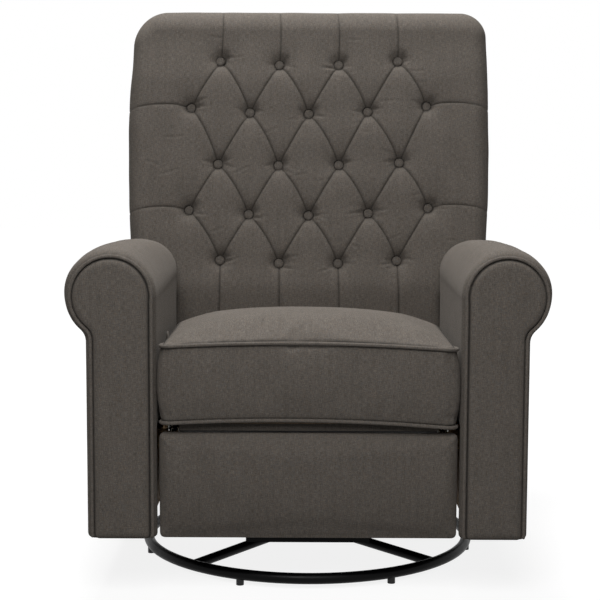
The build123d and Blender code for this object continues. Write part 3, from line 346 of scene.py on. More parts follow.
# %% Hard finishes
def painted(name, colour, roughness, peel, shine):
    """A painted or moulded skin with a faint orange peel and wear in its gloss."""
    material, tree, place = new_material(name)
    patches = noise_level(tree, place["Object"], 30.0, 4.0)
    dark, light = (tuple(share * channel for channel in colour) for share in (0.8, 1.25))
    principled(tree, {"Base Color": ramp(tree, patches, (0.3, dark), (0.7, light)),
                      "Roughness": ranged(tree, patches, 0.3, 0.7, roughness - 0.06, roughness + 0.08),
                      "Normal": relief(tree, noise_level(tree, place["Object"], 900.0, 2.0), peel, 0.0003),
                      "Specular IOR Level": shine})
    return material


def bare_metal(name, colour, roughness, spots):
    """Plated or drawn metal: a metallic shader with fine spots in its tone and gloss."""
    material, tree, place = new_material(name)
    level = noise_level(tree, place["Object"], spots, 3.0)
    dark = tuple(0.75 * channel for channel in colour)
    principled(tree, {"Base Color": ramp(tree, level, (0.3, dark), (0.7, colour)), "Metallic": 1.0,
                      "Roughness": ranged(tree, level, 0.0, 1.0, roughness - 0.08, roughness + 0.12)})
    return material


def plywood_material(name):
    """Raw plywood: warm grain along the board and thin layers across its edge."""
    material, tree, place = new_material(name)
    along = add_node(tree, "Mapping", {"Vector": place["Object"], "Scale": (90.0, 8.0, 45.0)}).outputs[0]
    grain = noise_level(tree, along, 1.0, 5.0, 0.8)
    layers = add_node(tree, "TexWave", {"Vector": place["Object"], "Scale": 110.0, "Distortion": 1.5},
                      bands_direction="X").outputs["Fac"]
    shade = maths(tree, "ADD", maths(tree, "MULTIPLY", grain, 0.75), maths(tree, "MULTIPLY", layers, 0.25))
    tone = ramp(tree, shade, (0.3, (0.26, 0.15, 0.075)), (0.5, (0.42, 0.27, 0.14)),
                (0.72, (0.56, 0.39, 0.22)))
    principled(tree, {"Base Color": tone, "Roughness": 0.75, "Normal": relief(tree, grain, 0.15, 0.0005)})
    return material


FINISH_OF_SLOT = {"black_steel": painted("ring_black", (0.0012, 0.0012, 0.0014), 0.36, 0.04, 0.08),
                  "link_steel": painted("link_black", (0.004, 0.004, 0.005), 0.5, 0.05, 0.15),
                  "zinc_steel": bare_metal("zinc_plate", (0.62, 0.62, 0.58), 0.34, 60.0),
                  "spring_steel": bare_metal("oil_dark_wire", (0.2, 0.2, 0.21), 0.38, 40.0),
                  "plywood": plywood_material("raw_plywood"),
                  "nylon": painted("nylon_black", (0.01, 0.01, 0.01), 0.55, 0.2, 0.3),
                  "upholstery": linen}
for subpart in frame["record"]["subparts"]:
    mesh = frame["nodes"][subpart["node"]].data
    mesh.materials.clear()
    mesh.materials.append(FINISH_OF_SLOT[subpart["material_slot"]])

# %% [markdown]
# ## Mesh tools
#
# Most padded panels start as a flat patch of small squares. Its outer corners are
# pressed round, the way a square sheet is pressed over a round mould, and every point
# then knows how far it lies from the rim. A depth can be given by that distance alone:
# level in the middle and a soft round at the rim. The open rim is pulled back in rings
# to make the sides, and the last ring is closed.

# %% Places for a patch
def smooth(low, high, value):
    """A soft step from 0 at low to 1 at high."""
    share = np.clip((value - low) / (high - low), 0.0, 1.0)
    return share * share * (3.0 - 2.0 * share)


def even_steps(low, high, size):
    """Even places from low to high, about a size apart, with both ends."""
    return np.linspace(low, high, max(2, int(round((high - low) / size)) + 1))


def rim_steps(reach, count):
    """Distances from 0 to reach that lie close together at 0, for a rim that turns round."""
    return reach * (1.0 - np.cos(np.linspace(0.0, QUARTER_TURN, count)))


def joined(*runs):
    """One rising list of places from several runs that may share their ends."""
    places = np.unique(np.round(np.concatenate(runs), 4))
    return places[np.concatenate(([True], np.diff(places) > 0.02))]


def both_sides(*runs):
    """Places from 0 outward, joined and repeated on the other side."""
    half = joined(*runs)
    return np.concatenate([-half[:0:-1], half])


def grid_places(columns, rows):
    """Every place of a grid, row by row: across and up."""
    return (grid.ravel() for grid in np.meshgrid(columns, rows))


print("steps to a rim that turns over 10 mm:", rim_steps(10.0, 5).round(1))

# %% Distances on a patch
def press_corners(across, up, half, high, radius):
    """Presses the two top corners of a patch round. Gives the new places, their distance from the
    side or top rim, and 0 where that rim is the side, to 1 where it is the top."""
    p = (np.abs(across) - (half - radius)) / radius
    q = (up - (high - radius)) / radius
    rim = np.minimum(half - np.abs(across), high - up)
    top_share = np.where(high - up < half - np.abs(across), 1.0, 0.0)
    corner = (p > 0) & (q > 0)
    p, q = np.clip(p, 0, 1), np.clip(q, 0, 1)
    round_p, round_q = p * np.sqrt(1 - q * q / 2), q * np.sqrt(1 - p * p / 2)
    across = np.where(corner, np.sign(across) * (half - radius + radius * round_p), across)
    up = np.where(corner, high - radius + radius * round_q, up)
    rim = np.where(corner, radius * (1 - np.hypot(round_p, round_q)), rim)
    top_share = np.where(corner, np.arctan2(round_q, np.maximum(round_p, 1e-6)) / QUARTER_TURN, top_share)
    return across, up, rim, top_share


def turned_away(rim, radius, depth):
    """How far a padded edge has turned away at a distance from its rim."""
    share = np.clip(1.0 - rim / radius, 0.0, 1.0)
    return depth * (1.0 - np.sqrt(np.maximum(1.0 - share * share, 0.0)))


def unevenness(places, size, seed):
    """A smooth random number from about -1 to 1 at each place, with hills of a size."""
    offset = Vector((seed * 17.3, seed * 5.1, seed * 9.7))
    return np.array([noise.noise(Vector(place) / size + offset) for place in places])


def to_line(x, v, line):
    """For every place: its distance to a line of points, the nearest point and its share of the way."""
    best, share = np.full(len(x), FAR), np.zeros(len(x))
    best_x, best_v = x.copy(), v.copy()
    for index, (first, second) in enumerate(zip(line[:-1], line[1:])):
        run = second - first
        along = ((x - first[0]) * run[0] + (v - first[1]) * run[1]) / max(run @ run, 1e-9)
        along = np.clip(along, 0.0, 1.0)
        at_x, at_v = first[0] + along * run[0], first[1] + along * run[1]
        distance = np.hypot(x - at_x, v - at_v)
        closer = distance < best
        best, best_x, best_v = (np.where(closer, new, old) for new, old in
                                ((distance, best), (at_x, best_x), (at_v, best_v)))
        share = np.where(closer, (index + along) / (len(line) - 1), share)
    return best, best_x, best_v, share


print("an edge of 10 mm, turned away at its rim and half way in:",
      turned_away(np.array((0.0, 5.0)), 10.0, 10.0).round(1))

# %% Mesh tools
def points_of(vertices):
    """The places of a list of points."""
    return np.array([vertex.co for vertex in vertices])


def set_places(bm, places):
    """Moves the points of a bmesh."""
    for vertex, place in zip(bm.verts, places):
        vertex.co = place


def sheet(points, rows, columns, keep=None):
    """A bmesh of a grid of points counted row by row; keep says which squares stay."""
    row, column = np.mgrid[0:rows - 1, 0:columns - 1]
    first = (row * columns + column).ravel()
    quads = np.stack([first, first + 1, first + columns + 1, first + columns], -1)
    if keep is not None:
        quads = quads[keep]
    mesh = bpy.data.meshes.new("sheet")
    mesh.from_pydata([tuple(point) for point in points], [], quads.tolist())
    bm = bmesh.new()
    bm.from_mesh(mesh)
    bpy.data.meshes.remove(mesh)
    bmesh.ops.delete(bm, geom=[vertex for vertex in bm.verts if not vertex.link_faces], context="VERTS")
    return bm


def bridge(bm, rings):
    """Joins closed rings of points with squares, one after the other."""
    for first, second in zip(rings, rings[1:]):
        for index in range(len(first)):
            after = (index + 1) % len(first)
            bm.faces.new((first[index], second[index], second[after], first[after]))


print("sheets and rings ready")

# %% Rim tools
def open_rim(bm):
    """The edges along a bmesh's opening."""
    return [edge for edge in bm.edges if edge.is_boundary]


def new_ring(bm, edges):
    """Adds a ring of faces along open edges; gives its far edges and points."""
    added = bmesh.ops.extrude_edge_only(bm, edges=edges)["geom"]
    return ([item for item in added if isinstance(item, bmesh.types.BMEdge)],
            [item for item in added if isinstance(item, bmesh.types.BMVert)])


def pull_rim(bm, axis, end, shares, only=None):
    """Pulls an open rim along an axis towards an end, a number or a function of the place, with a ring at
    each share of the way."""
    rim = [edge for edge in open_rim(bm) if only is None or only(edge)]
    done = 0.0
    for share in shares:
        rim, points = new_ring(bm, rim)
        for point in points:
            goal = end(point.co) if callable(end) else end
            point.co[axis] += (goal - point.co[axis]) * ((share - done) / (1.0 - done))
        done = share


def tuck_rim(bm, place):
    """Adds a ring inside the open rim; place gives the new place of a point."""
    for point in new_ring(bm, open_rim(bm))[1]:
        point.co = place(*point.co)


def close_rim(bm):
    """Closes the open rim with one flat face, cut into triangles."""
    filled = bmesh.ops.holes_fill(bm, edges=open_rim(bm), sides=0)["faces"]
    bmesh.ops.triangulate(bm, faces=filled)


print("rim tools ready")

# %% Tubes and boards
def places_and_normals(bm, axis, way):
    """The points of a bmesh and its outward normals: the point furthest one way along an axis faces
    that way."""
    bmesh.ops.recalc_face_normals(bm, faces=bm.faces)
    bm.normal_update()
    places = points_of(bm.verts)
    normals = np.array([vertex.normal for vertex in bm.verts])
    outermost = np.argmax(way * places[:, axis])
    return places, -normals if way * normals[outermost][axis] < 0 else normals


def mirrored(bm):
    """Turns a bmesh into the same one for the other side of the chair."""
    bmesh.ops.scale(bm, vec=(-1.0, 1.0, 1.0), verts=bm.verts)
    bmesh.ops.reverse_faces(bm, faces=bm.faces)


def tube(bm, path, radius, sides=10):
    """Adds a round tube along a path of places, with closed ends."""
    path = [Vector(place) for place in path]
    rings, up = [], None
    for index, place in enumerate(path):
        ahead = (path[min(index + 1, len(path) - 1)] - path[max(index - 1, 0)]).normalized()
        up = ahead.orthogonal() if up is None else up
        up = (up - ahead * up.dot(ahead)).normalized()
        beside = ahead.cross(up)
        rings.append([bm.verts.new(place + (up * math.cos(around) + beside * math.sin(around)) * radius)
                      for around in (2 * math.pi * side_index / sides for side_index in range(sides))])
    bridge(bm, rings)
    bm.faces.new(rings[0])
    bm.faces.new(rings[-1])


def padded_board(half, low, high, corner, face, back, rim_round, crown=0.0, step=6.0):
    """A bmesh of a padded board: a face at one depth, four round corners and an open back at another."""
    way = 1.0 if back > face else -1.0
    columns = both_sides(even_steps(0.0, half - rim_round, step), half - rim_steps(rim_round, 7))
    rows = joined(low + rim_steps(rim_round, 7), even_steps(low + rim_round, high - rim_round, step),
                  high - rim_steps(rim_round, 7))
    x, z = grid_places(columns, rows)
    x, z, rim, _ = press_corners(x, z, half, high, corner)
    x, down, low_rim, _ = press_corners(x, -z, half, -low, corner)
    rim = np.minimum(rim, low_rim)
    from_middle = np.clip((-down - (low + high) / 2) / ((high - low) / 2), -1, 1)
    middle = (1.0 - (x / half) ** 4) * (1.0 - from_middle ** 4)
    y = face + way * (turned_away(rim, rim_round, rim_round) + crown * (1.0 - middle))
    bm = sheet(np.stack([x, y, -down], -1), len(rows), len(columns))
    pull_rim(bm, 1, back, (0.3, 0.6, 0.85, 1.0))
    return bm


print("tubes and boards ready")

# %% Pieces
def add_piece(name, bm, material):
    """A smooth-shaded object from a bmesh in millimetres, with its faces turned outward."""
    bmesh.ops.recalc_face_normals(bm, faces=bm.faces)
    bmesh.ops.scale(bm, vec=(MM, MM, MM), verts=bm.verts)
    mesh = bpy.data.meshes.new(name)
    bm.to_mesh(mesh)
    bm.free()
    mesh.materials.append(material)
    mesh.polygons.foreach_set("use_smooth", [True] * len(mesh.polygons))
    piece = bpy.data.objects.new(name, mesh)
    scene.collection.objects.link(piece)
    return piece


def paint_crease_shade(piece, values):
    """Says at every point how deep it lies in a seam or a fold, from 0 to 1; the cloth is darkened there with
    painted shade.
    """
    values = np.clip(values, 0.0, 1.0)
    attribute = piece.data.attributes.new("crease_shade", "FLOAT", "POINT")
    attribute.data.foreach_set("value", np.pad(values, (0, len(attribute.data) - len(values)), mode="edge"))


def apply_modifiers(piece):
    """Makes what a piece's modifiers show its own mesh."""
    graph = bpy.context.evaluated_depsgraph_get()
    shown = bpy.data.meshes.new_from_object(piece.evaluated_get(graph))
    old = piece.data
    piece.modifiers.clear()
    piece.data = shown
    bpy.data.meshes.remove(old)


def box_mm(node):
    """The two corners of a node's box in millimetres."""
    return [np.array(corner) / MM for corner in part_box(node)]


def declare(piece, body, slot, *replaced, fill=None):
    """Rides a piece on its body, hides the nodes it stands for and prints its size; slot is not used."""
    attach(piece, body)
    if replaced:
        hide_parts(*replaced)
    size = np.ptp(points_of(piece.data.vertices), axis=0) / MM
    print(piece.name, "on", body, len(piece.data.vertices), "points, size in mm", size.round())


print("pieces are drawn in millimetres and scaled by", MM)

# %% [markdown]
# ## The back cushion: its outline and its buttons
#
# The back is one wide cushion, a little wider above the arms than between them, with
# well-rounded top corners and a narrow foot that goes down behind the seat. Twenty-two
# buttons in rows of four and five pull its face in. Each row hangs a little in its
# middle and tilts a little, as hand-set rows do. The cushion is drawn upright, across
# (x), along its height from the hinge (v) and square to it (n), and leaned at the end.

# %% Back layout
BACK_LEAN = math.radians(12.0)
BACK_HINGE_Y, BACK_HINGE_Z = (place / MM for place in joints["recline"]["pos_m"][1:])
BACK_TOP, BACK_FACE, BACK_REAR = 734.5, -97.0, 36.0
LEFT_CORNER, RIGHT_CORNER = 74.0, 54.0
LEFT_NARROWER = 5.0
FOOT_LOW, FOOT_TOP, FOOT_HALF = 34.0, 115.0, 278.0
WIDEST_HALF = 382.0
OUTLINE_HEIGHTS = (115.0, 225.0, 315.0, 430.0, 560.0, 635.0, 680.0, 738.0)
OUTLINE_HALVES = (369.0, 374.0, 379.5, 382.0, 382.0, 380.5, 379.0, 377.0)
# Height of a row's middle, its sag and tilt, how many buttons it has and how far apart.
BUTTON_ROWS = ((610.5, 9.0, 0.5, 4, 125.7), (505.0, 15.0, 2.5, 5, 124.2), (394.5, 4.5, 2.0, 4, 127.0),
               (288.0, 13.5, 3.0, 5, 125.3), (186.0, 7.0, 0.0, 4, 123.0))


def half_width(v):
    """Half the back's width at a height."""
    return np.interp(v, OUTLINE_HEIGHTS, OUTLINE_HALVES)


def corner_radius(x):
    """The round of the back's top corners: the right one is tighter."""
    return np.where(np.asarray(x) > 0, RIGHT_CORNER, LEFT_CORNER)


def settled(x, v):
    """A place across, drawn in where the upper left of the back has settled."""
    return x + LEFT_NARROWER * np.where(x < 0, np.abs(x) / WIDEST_HALF, 0.0) * smooth(520.0, 640.0, v)


def leaned(places):
    """Places (x, n, v) of the upright drawing, leaned with the back about its hinge."""
    x, n, v = np.asarray(places, dtype=float).T
    y = BACK_HINGE_Y + n * math.cos(BACK_LEAN) + v * math.sin(BACK_LEAN)
    z = BACK_HINGE_Z - n * math.sin(BACK_LEAN) + v * math.cos(BACK_LEAN)
    return np.stack([x, y, z], -1)


buttons = []
for middle_v, sag, tilt, count, spacing in BUTTON_ROWS:
    for index in range(count):
        step = index - (count - 1) / 2
        reach = 2 * step / (count - 1)
        buttons.append((step * spacing, middle_v + sag * reach ** 2 + tilt * reach, count))
print("buttons:", [(round(x), round(v)) for x, v, count in buttons])

# %% [markdown]
# ## The back cushion: its pleats
#
# Between buttons the cloth folds into pleats. They could be modelled as real folds, but
# at this size a pleat shows as a thin dark line with the padding rounding softly into
# it, so each is a curve on the face, and depth is taken away by the distance from it: a
# narrow deep part and a wide shallow one. Pleats falling to the right bow upwards, the
# others run nearly straight. The outer buttons of the long rows send one to the side.

# %% Pleat curves
CURVE_STEPS = 12
OUTER_BUTTON = 200.0


def bowed(start, end, bow, lean=(0.0, 1.0)):
    """A curve between two places (x, v) whose middle stands off by a bow in the direction of lean."""
    share = np.linspace(0.0, 1.0, CURVE_STEPS + 1)[:, None]
    start, end, lean = np.array(start), np.array(end), np.array(lean)
    return start + (end - start) * share + lean * bow * 4 * share * (1 - share)


# Every pleat and wrinkle is a curve with its strength at the start and at the end.
pleats = []
for index, (x, v, count) in enumerate(buttons):
    for other_x, other_v, other_count in buttons[index + 1:]:
        if other_count != count and abs(x - other_x) < 90.0 and abs(v - other_v) < 150.0:
            bow = 6.5 if other_x > x else -2.0
            pleats.append((bowed((x, v), (other_x, other_v), bow, (0.7, 0.7)), 1.0, 1.0))
for x, v, count in buttons[:4]:
    pleats.append((bowed((x, v), (x * 0.985, BACK_TOP - 6.0), 2.5, (1.0, 0.0)), 1.0, 0.55))
for x, v, count in buttons[-4:]:
    pleats.append((bowed((x, v), (x * 1.02, FOOT_LOW), 2.0, (1.0, 0.0)), 1.0, 1.0))
for x, v, count in buttons:
    if count == 5 and abs(x) > OUTER_BUTTON:
        pleats.append((bowed((x, v), (math.copysign(half_width(v), x), v - 5.0), 9.0), 1.0, 0.25))

chance = np.random.default_rng(7)
wrinkles = []
for x, v, count in buttons:
    for _ in range(3):
        angle = chance.uniform(-0.35, 0.35) + (0.0 if chance.random() < 0.75 else math.pi)
        near, far = chance.uniform(10.0, 14.0), chance.uniform(24.0, 44.0)
        rise = chance.uniform(-9.0, 9.0)
        way = np.array((math.cos(angle), math.sin(angle)))
        start = np.array((x, v + rise)) + way * near
        wrinkles.append((bowed(start, start + way * (far - near), chance.uniform(-2.5, 2.5)), 1.0, 0.1))
for _ in range(34):
    middle = np.array((chance.uniform(-340.0, 340.0), chance.uniform(150.0, 690.0)))
    way = np.array((1.0, chance.uniform(-0.5, 0.5))) * chance.uniform(8.0, 22.0)
    wrinkles.append((bowed(middle - way, middle + way, chance.uniform(-2.0, 2.0)), 0.3, 0.3))
print(len(pleats), "pleats and", len(wrinkles), "small wrinkles")


def to_curves(x, v, curves, reach):
    """For every curve: the places within its reach, their distance, its strength and nearest point there."""
    found = []
    for curve, first_strength, last_strength in curves:
        low, high = curve.min(axis=0) - reach, curve.max(axis=0) + reach
        picked = np.nonzero((x > low[0]) & (x < high[0]) & (v > low[1]) & (v < high[1]))[0]
        distance, at_x, at_v, share = to_line(x[picked], v[picked], curve)
        strength = first_strength + (last_strength - first_strength) * share
        found.append((picked, distance, strength, at_x, at_v))
    return found


# %% [markdown]
# ## The back cushion: its face
#
# The face is a patch of about eighty thousand squares. Points near a pleat are drawn
# towards it first, so that a crease two millimetres wide is still sharp. Then the sides
# and top are turned away and the wall behind them is pulled back. Last, every point
# sinks along its own normal by what pleats, buttons and wrinkles take there.

# %% Back cushion face
PATCH_STEP = 2.7
SIDE_ROUND, FOOT_ROUND = 34.0, 14.0
TOP_ROUND, TOP_DEPTH = 52.0, 44.0
SIDE_FALL, TOP_FALL, FOOT_FALL = 5.0, 5.0, 17.0
DRAW_REACH = 9.0
foot_column = FOOT_HALF * WIDEST_HALF / OUTLINE_HALVES[0]
columns = both_sides(even_steps(0.0, foot_column - FOOT_ROUND, PATCH_STEP),
                     foot_column - rim_steps(FOOT_ROUND, 7), foot_column + rim_steps(FOOT_ROUND, 5),
                     even_steps(foot_column + FOOT_ROUND, WIDEST_HALF - SIDE_ROUND, PATCH_STEP),
                     WIDEST_HALF - rim_steps(SIDE_ROUND, 15))
rows = joined(FOOT_LOW + rim_steps(FOOT_ROUND, 7), even_steps(FOOT_LOW + FOOT_ROUND, FOOT_TOP, PATCH_STEP),
              FOOT_TOP + rim_steps(FOOT_ROUND, 7),
              even_steps(FOOT_TOP + FOOT_ROUND, BACK_TOP - TOP_ROUND, PATCH_STEP),
              BACK_TOP - rim_steps(TOP_ROUND, 32))
x, v = grid_places(columns, rows)
half = half_width(v)
x, v, rim, top_share = press_corners(x * half / WIDEST_HALF, v, half, BACK_TOP, corner_radius(x))


def from_foot_corner(x, v):
    """How far places above the foot lie outside its two inner corners."""
    return np.hypot(np.maximum(FOOT_HALF - np.abs(x), 0.0), np.maximum(v - FOOT_TOP, 0.0))


near = np.full(len(x), FAR)
near_x, near_v = x.copy(), v.copy()
for picked, distance, _, at_x, at_v in to_curves(x, v, pleats, 12.0):
    closer = distance < near[picked]
    chosen = picked[closer]
    near[chosen], near_x[chosen], near_v[chosen] = distance[closer], at_x[closer], at_v[closer]
inner = smooth(4.0, 20.0, np.minimum(rim, v - FOOT_LOW)) * smooth(3.0, 12.0, from_foot_corner(x, v))
draw = np.where(near < DRAW_REACH, (1.0 - np.clip(near / DRAW_REACH, 0.0, 1.0) ** 0.6) * inner, 0.0)
x, v = x + (near_x - x) * draw, v + (near_v - v) * draw

foot_rim = np.minimum(from_foot_corner(x, v), np.where(np.abs(x) < FOOT_HALF + 1.0, v - FOOT_LOW, FAR))
n = BACK_FACE + turned_away(rim, SIDE_ROUND + (TOP_ROUND - SIDE_ROUND) * top_share,
                            SIDE_ROUND + (TOP_DEPTH - SIDE_ROUND) * top_share)
n += SIDE_FALL * (1.0 - smooth(30.0, 118.0, half_width(v) - np.abs(x)))
n += TOP_FALL * (1.0 - smooth(55.0, 165.0, BACK_TOP - v))
n += FOOT_FALL * (1.0 - smooth(34.0, 150.0, v))
n += turned_away(foot_rim, FOOT_ROUND, FOOT_ROUND)
square_x, square_v = grid_places((columns[:-1] + columns[1:]) / 2, (rows[:-1] + rows[1:]) / 2)
beside_foot = (np.abs(square_x) > foot_column) & (square_v < FOOT_TOP)
bm = sheet(np.stack([x, n, v], -1), len(rows), len(columns), ~beside_foot)
pull_rim(bm, 1, BACK_REAR, (0.04, 0.1, 0.18, 0.28, 0.4, 0.52, 0.64, 0.76, 0.86, 0.93, 0.97, 1.0))
print("face of", len(x), "points")

# %% Back cushion body
PLEAT_DEPTH, PLEAT_CLOSE, PLEAT_WIDE = 3.2, 0.6, 1.0
BUTTON_DEPTH, BUTTON_WIDE = 14.0, 4.0
FOLD_BESIDE = 3.5
places, normals = places_and_normals(bm, 1, -1.0)
x, n, v = places.T
narrow, crease_shade = np.zeros(len(x)), np.zeros(len(x))
spared_close, spared_wide = np.ones(len(x)), np.ones(len(x))
for picked, distance, strength, _, _ in to_curves(x, v, pleats, 70.0):
    narrow[picked] = np.maximum(narrow[picked], strength * np.exp(-distance / 1.3))
    spared_close[picked] *= 1.0 - strength * np.exp(-(distance / 8.0) ** 2)
    spared_wide[picked] *= 1.0 - 0.8 * strength * np.exp(-(distance / 28.0) ** 2)
    # Painted shade: a thin dark line along each pleat, darker for the stronger ones.
    crease_shade[picked] = np.maximum(crease_shade[picked], (0.45 + 0.3 * strength) * np.exp(-distance / 1.1))

sunk = PLEAT_DEPTH * narrow + PLEAT_CLOSE * (1.0 - spared_close) + PLEAT_WIDE * (1.0 - spared_wide)
for button_x, button_v, count in buttons:
    away = np.hypot(x - button_x, v - button_v)
    beside = np.exp(-(np.hypot(x - button_x - 9.0, v - button_v - 10.0) / 9.0) ** 2)
    sunk += BUTTON_DEPTH * np.exp(-(away / 15.0) ** 2) + BUTTON_WIDE * np.exp(-(away / 42.0) ** 2)
    sunk += FOLD_BESIDE * beside
    # Painted shade: a dark ring round each button's pocket and a dark smudge up and to its right.
    button_ring_shade = 0.9 * np.exp(-(np.maximum(np.abs(away - 9.5) - 0.8, 0.0) / 1.2) ** 2)
    crease_shade = np.maximum(crease_shade, np.maximum(button_ring_shade, 0.3 * beside))
for picked, distance, strength, _, _ in to_curves(x, v, wrinkles, 12.0):
    sunk[picked] += 1.9 * strength * np.exp(-(distance / 2.2) ** 2)
    sunk[picked] -= 0.8 * strength * np.exp(-((distance - 5.0) / 3.0) ** 2)
sunk *= (1.0 - smooth(-52.0, 12.0, n)) * smooth(30.0, 60.0, v)
# The painted shade fades where the face turns into the wall.
crease_shade *= 1.0 - smooth(-20.0, 20.0, n)
sunk += unevenness(places, 70.0, 1) * smooth(BACK_REAR, 0.0, n)
seam = 4.0 * smooth(14.0, BACK_REAR, n)
puff = 2.5 * np.sin(math.pi * np.clip((n + 50.0) / 86.0, 0, 1))
moved = places - normals * (sunk + smooth(-50.0, -20.0, n) * (seam - puff))[:, None]
moved[:, 1] = np.where(n > BACK_REAR - 0.5, BACK_REAR, moved[:, 1])
moved[:, 0] = settled(moved[:, 0], v)
set_places(bm, leaned(moved))
close_rim(bm)
back_pad = add_piece("back_pad", bm, linen)
paint_crease_shade(back_pad, crease_shade)
declare(back_pad, "back", "upholstery", "back_cushion", fill=0.85)

# %% [markdown]
# ## Buttons
#
# A covered button is a flat dome with cloth drawn tightly over it, so its rim is a
# small round edge and its middle is nearly level. One outline turned about an axis
# makes it. All twenty-two are one piece, as they are one node in the frame.

# %% Buttons
BUTTON_PROFILE = ((3.0, -3.5), (6.0, -3.2), (8.0, -2.6), (9.0, -1.8), (9.4, -0.8), (9.2, 0.6), (8.0, 2.0))
BUTTON_MIDDLE = -3.6
BUTTON_SEAT, OUTER_FURTHER_BACK = -80.5, 2.0
BUTTON_SIDES = 32
bm = bmesh.new()
for button_x, button_v, count in buttons:
    seat_n = BUTTON_SEAT + (OUTER_FURTHER_BACK if button_v > 600.0 or abs(button_x) > 230.0 else 0.0)
    rings = []
    for radius, depth in BUTTON_PROFILE:
        ring = [(button_x + radius * math.cos(around), seat_n + depth, button_v + radius * math.sin(around))
                for around in (2 * math.pi * index / BUTTON_SIDES for index in range(BUTTON_SIDES))]
        rings.append([bm.verts.new(place) for place in leaned(ring)])
    middle = bm.verts.new(leaned([(button_x, seat_n + BUTTON_MIDDLE, button_v)])[0])
    for first, second in zip(rings[0], rings[0][1:] + rings[0][:1]):
        bm.faces.new((middle, first, second))
    bridge(bm, rings)
    bm.faces.new(rings[-1])
tuft_buttons = add_piece("tuft_buttons", bm, piping_linen)
declare(tuft_buttons, "back", "upholstery", "back_buttons")

# %% [markdown]
# ## The hood behind the back
#
# The rear of the back is a cloth shell over a frame: a broad panel, turned round at its
# edges into low side walls that meet the cushion at a corded seam. Below the cushion's
# wings the side walls reach further forward and close the gap to the arms. The shell is
# the same kind of patch as the cushion, pulled forward, and given its thickness last.

# %% Hood
HOOD_REAR, HOOD_FRONT, WALL_FRONT = 136.0, 40.0, -63.0
HOOD_LOW, WING_FOOT, HOOD_TOP = -50.0, 109.0, 731.0
HOOD_ROUND, HOOD_STEP, HOOD_WALL, HOOD_CROWN = 26.0, 9.0, 4.0, 3.0
columns = both_sides(even_steps(0.0, WIDEST_HALF - HOOD_ROUND, HOOD_STEP),
                     WIDEST_HALF - rim_steps(HOOD_ROUND, 9))
rows = joined(even_steps(HOOD_LOW, WING_FOOT, HOOD_STEP),
              even_steps(WING_FOOT, HOOD_TOP - HOOD_ROUND, HOOD_STEP), HOOD_TOP - rim_steps(HOOD_ROUND, 9))
x, v = grid_places(columns, rows)
half = half_width(v) - 0.5
x = x * half / WIDEST_HALF
x, v, rim, _ = press_corners(x, v, half, HOOD_TOP, corner_radius(x) - 4.0)
up_share = np.clip((v - HOOD_LOW) / (HOOD_TOP - HOOD_LOW), 0, 1)
n = HOOD_REAR - turned_away(rim, HOOD_ROUND, HOOD_ROUND)
n += HOOD_CROWN * np.cos(x / half * QUARTER_TURN) * np.sin(up_share * math.pi)
bm = sheet(np.stack([x, n, v], -1), len(rows), len(columns))


def above_foot(edge):
    """Whether an edge lies on the hood's side or top rim, and not along its open foot."""
    return (edge.verts[0].co.z + edge.verts[1].co.z) / 2 > HOOD_LOW + 0.5


def under_wing(edge):
    """Whether an edge of the side walls' front lies under the cushion's wings."""
    return all(vertex.co.z < WING_FOOT + 0.5 and abs(vertex.co.y - HOOD_FRONT) < 0.5 for vertex in edge.verts)


pull_rim(bm, 1, HOOD_FRONT, (0.1, 0.25, 0.4, 0.55, 0.7, 0.85, 1.0), above_foot)
pull_rim(bm, 1, WALL_FRONT, (0.12, 0.3, 0.5, 0.7, 0.88, 1.0), under_wing)
places, normals = places_and_normals(bm, 1, 1.0)
x, n, v = places.T
shift = 0.9 * unevenness(places, 110.0, 2) - 0.4
shift += 1.2 * smooth(HOOD_LOW + 40.0, HOOD_LOW, v) * unevenness(places, 35.0, 3)
moved = places + normals * (shift * smooth(HOOD_FRONT - 2.0, HOOD_FRONT + 30.0, n))[:, None]
moved[:, 1] += 16.0 * smooth(60.0, WING_FOOT, v) * smooth(HOOD_FRONT, WALL_FRONT, n)
moved[:, 0] = settled(moved[:, 0], v)
set_places(bm, leaned(moved))
outer_hood = add_piece("outer_back_hood", bm, linen)
thicken = outer_hood.modifiers.new("thickness", "SOLIDIFY")
thicken.thickness = HOOD_WALL * MM
thicken.offset = -1.0
apply_modifiers(outer_hood)
declare(outer_hood, "back", "upholstery", "outer_back_cover")

# %% [markdown]
# ## Corded seam round the back
#
# Where hood and cushion meet, the seam carries a thin cord. Seen from the front it is
# the fine rim along the back's outline. It follows the same outline as the two panels.

# %% Corded seam
SEAM_CORD = 2.2


def half_seam(corner):
    """The seam line up one side and round its top corner."""
    line = [(half_width(v) + 0.3, v) for v in even_steps(FOOT_TOP, BACK_TOP - corner, 8.0)[:-1]]
    corner_x, corner_v = half_width(BACK_TOP - corner) - corner, BACK_TOP - corner
    return line + [(corner_x + (corner + 0.3) * math.cos(angle), corner_v + (corner - 4.5) * math.sin(angle))
                   for angle in np.linspace(0.0, QUARTER_TURN, 16)]


left_half = [(-x, v) for x, v in reversed(half_seam(LEFT_CORNER))]
line = [(float(settled(np.float64(x), v)), HOOD_FRONT - 2.0, v)
        for x, v in half_seam(RIGHT_CORNER) + left_half]
bm = bmesh.new()
tube(bm, leaned(line), SEAM_CORD)
back_seam = add_piece("back_seam_cord", bm, piping_linen)
declare(back_seam, "back", "upholstery")

# %% [markdown]
# ## Swelling a cushion
#
# Foam and fibre press a cover outward between its seams. Blender's Cloth does that with
# a little pressure and no gravity: the seams are pinned, and the rest swells from a
# shape that starts slightly too small. No point may move further than a cap, so the
# cushion keeps its size. It takes some seconds.

# %% Swelling
SWELL_FRAMES = 20
STIFFNESS = 15.0
PRESSURE = 4.0


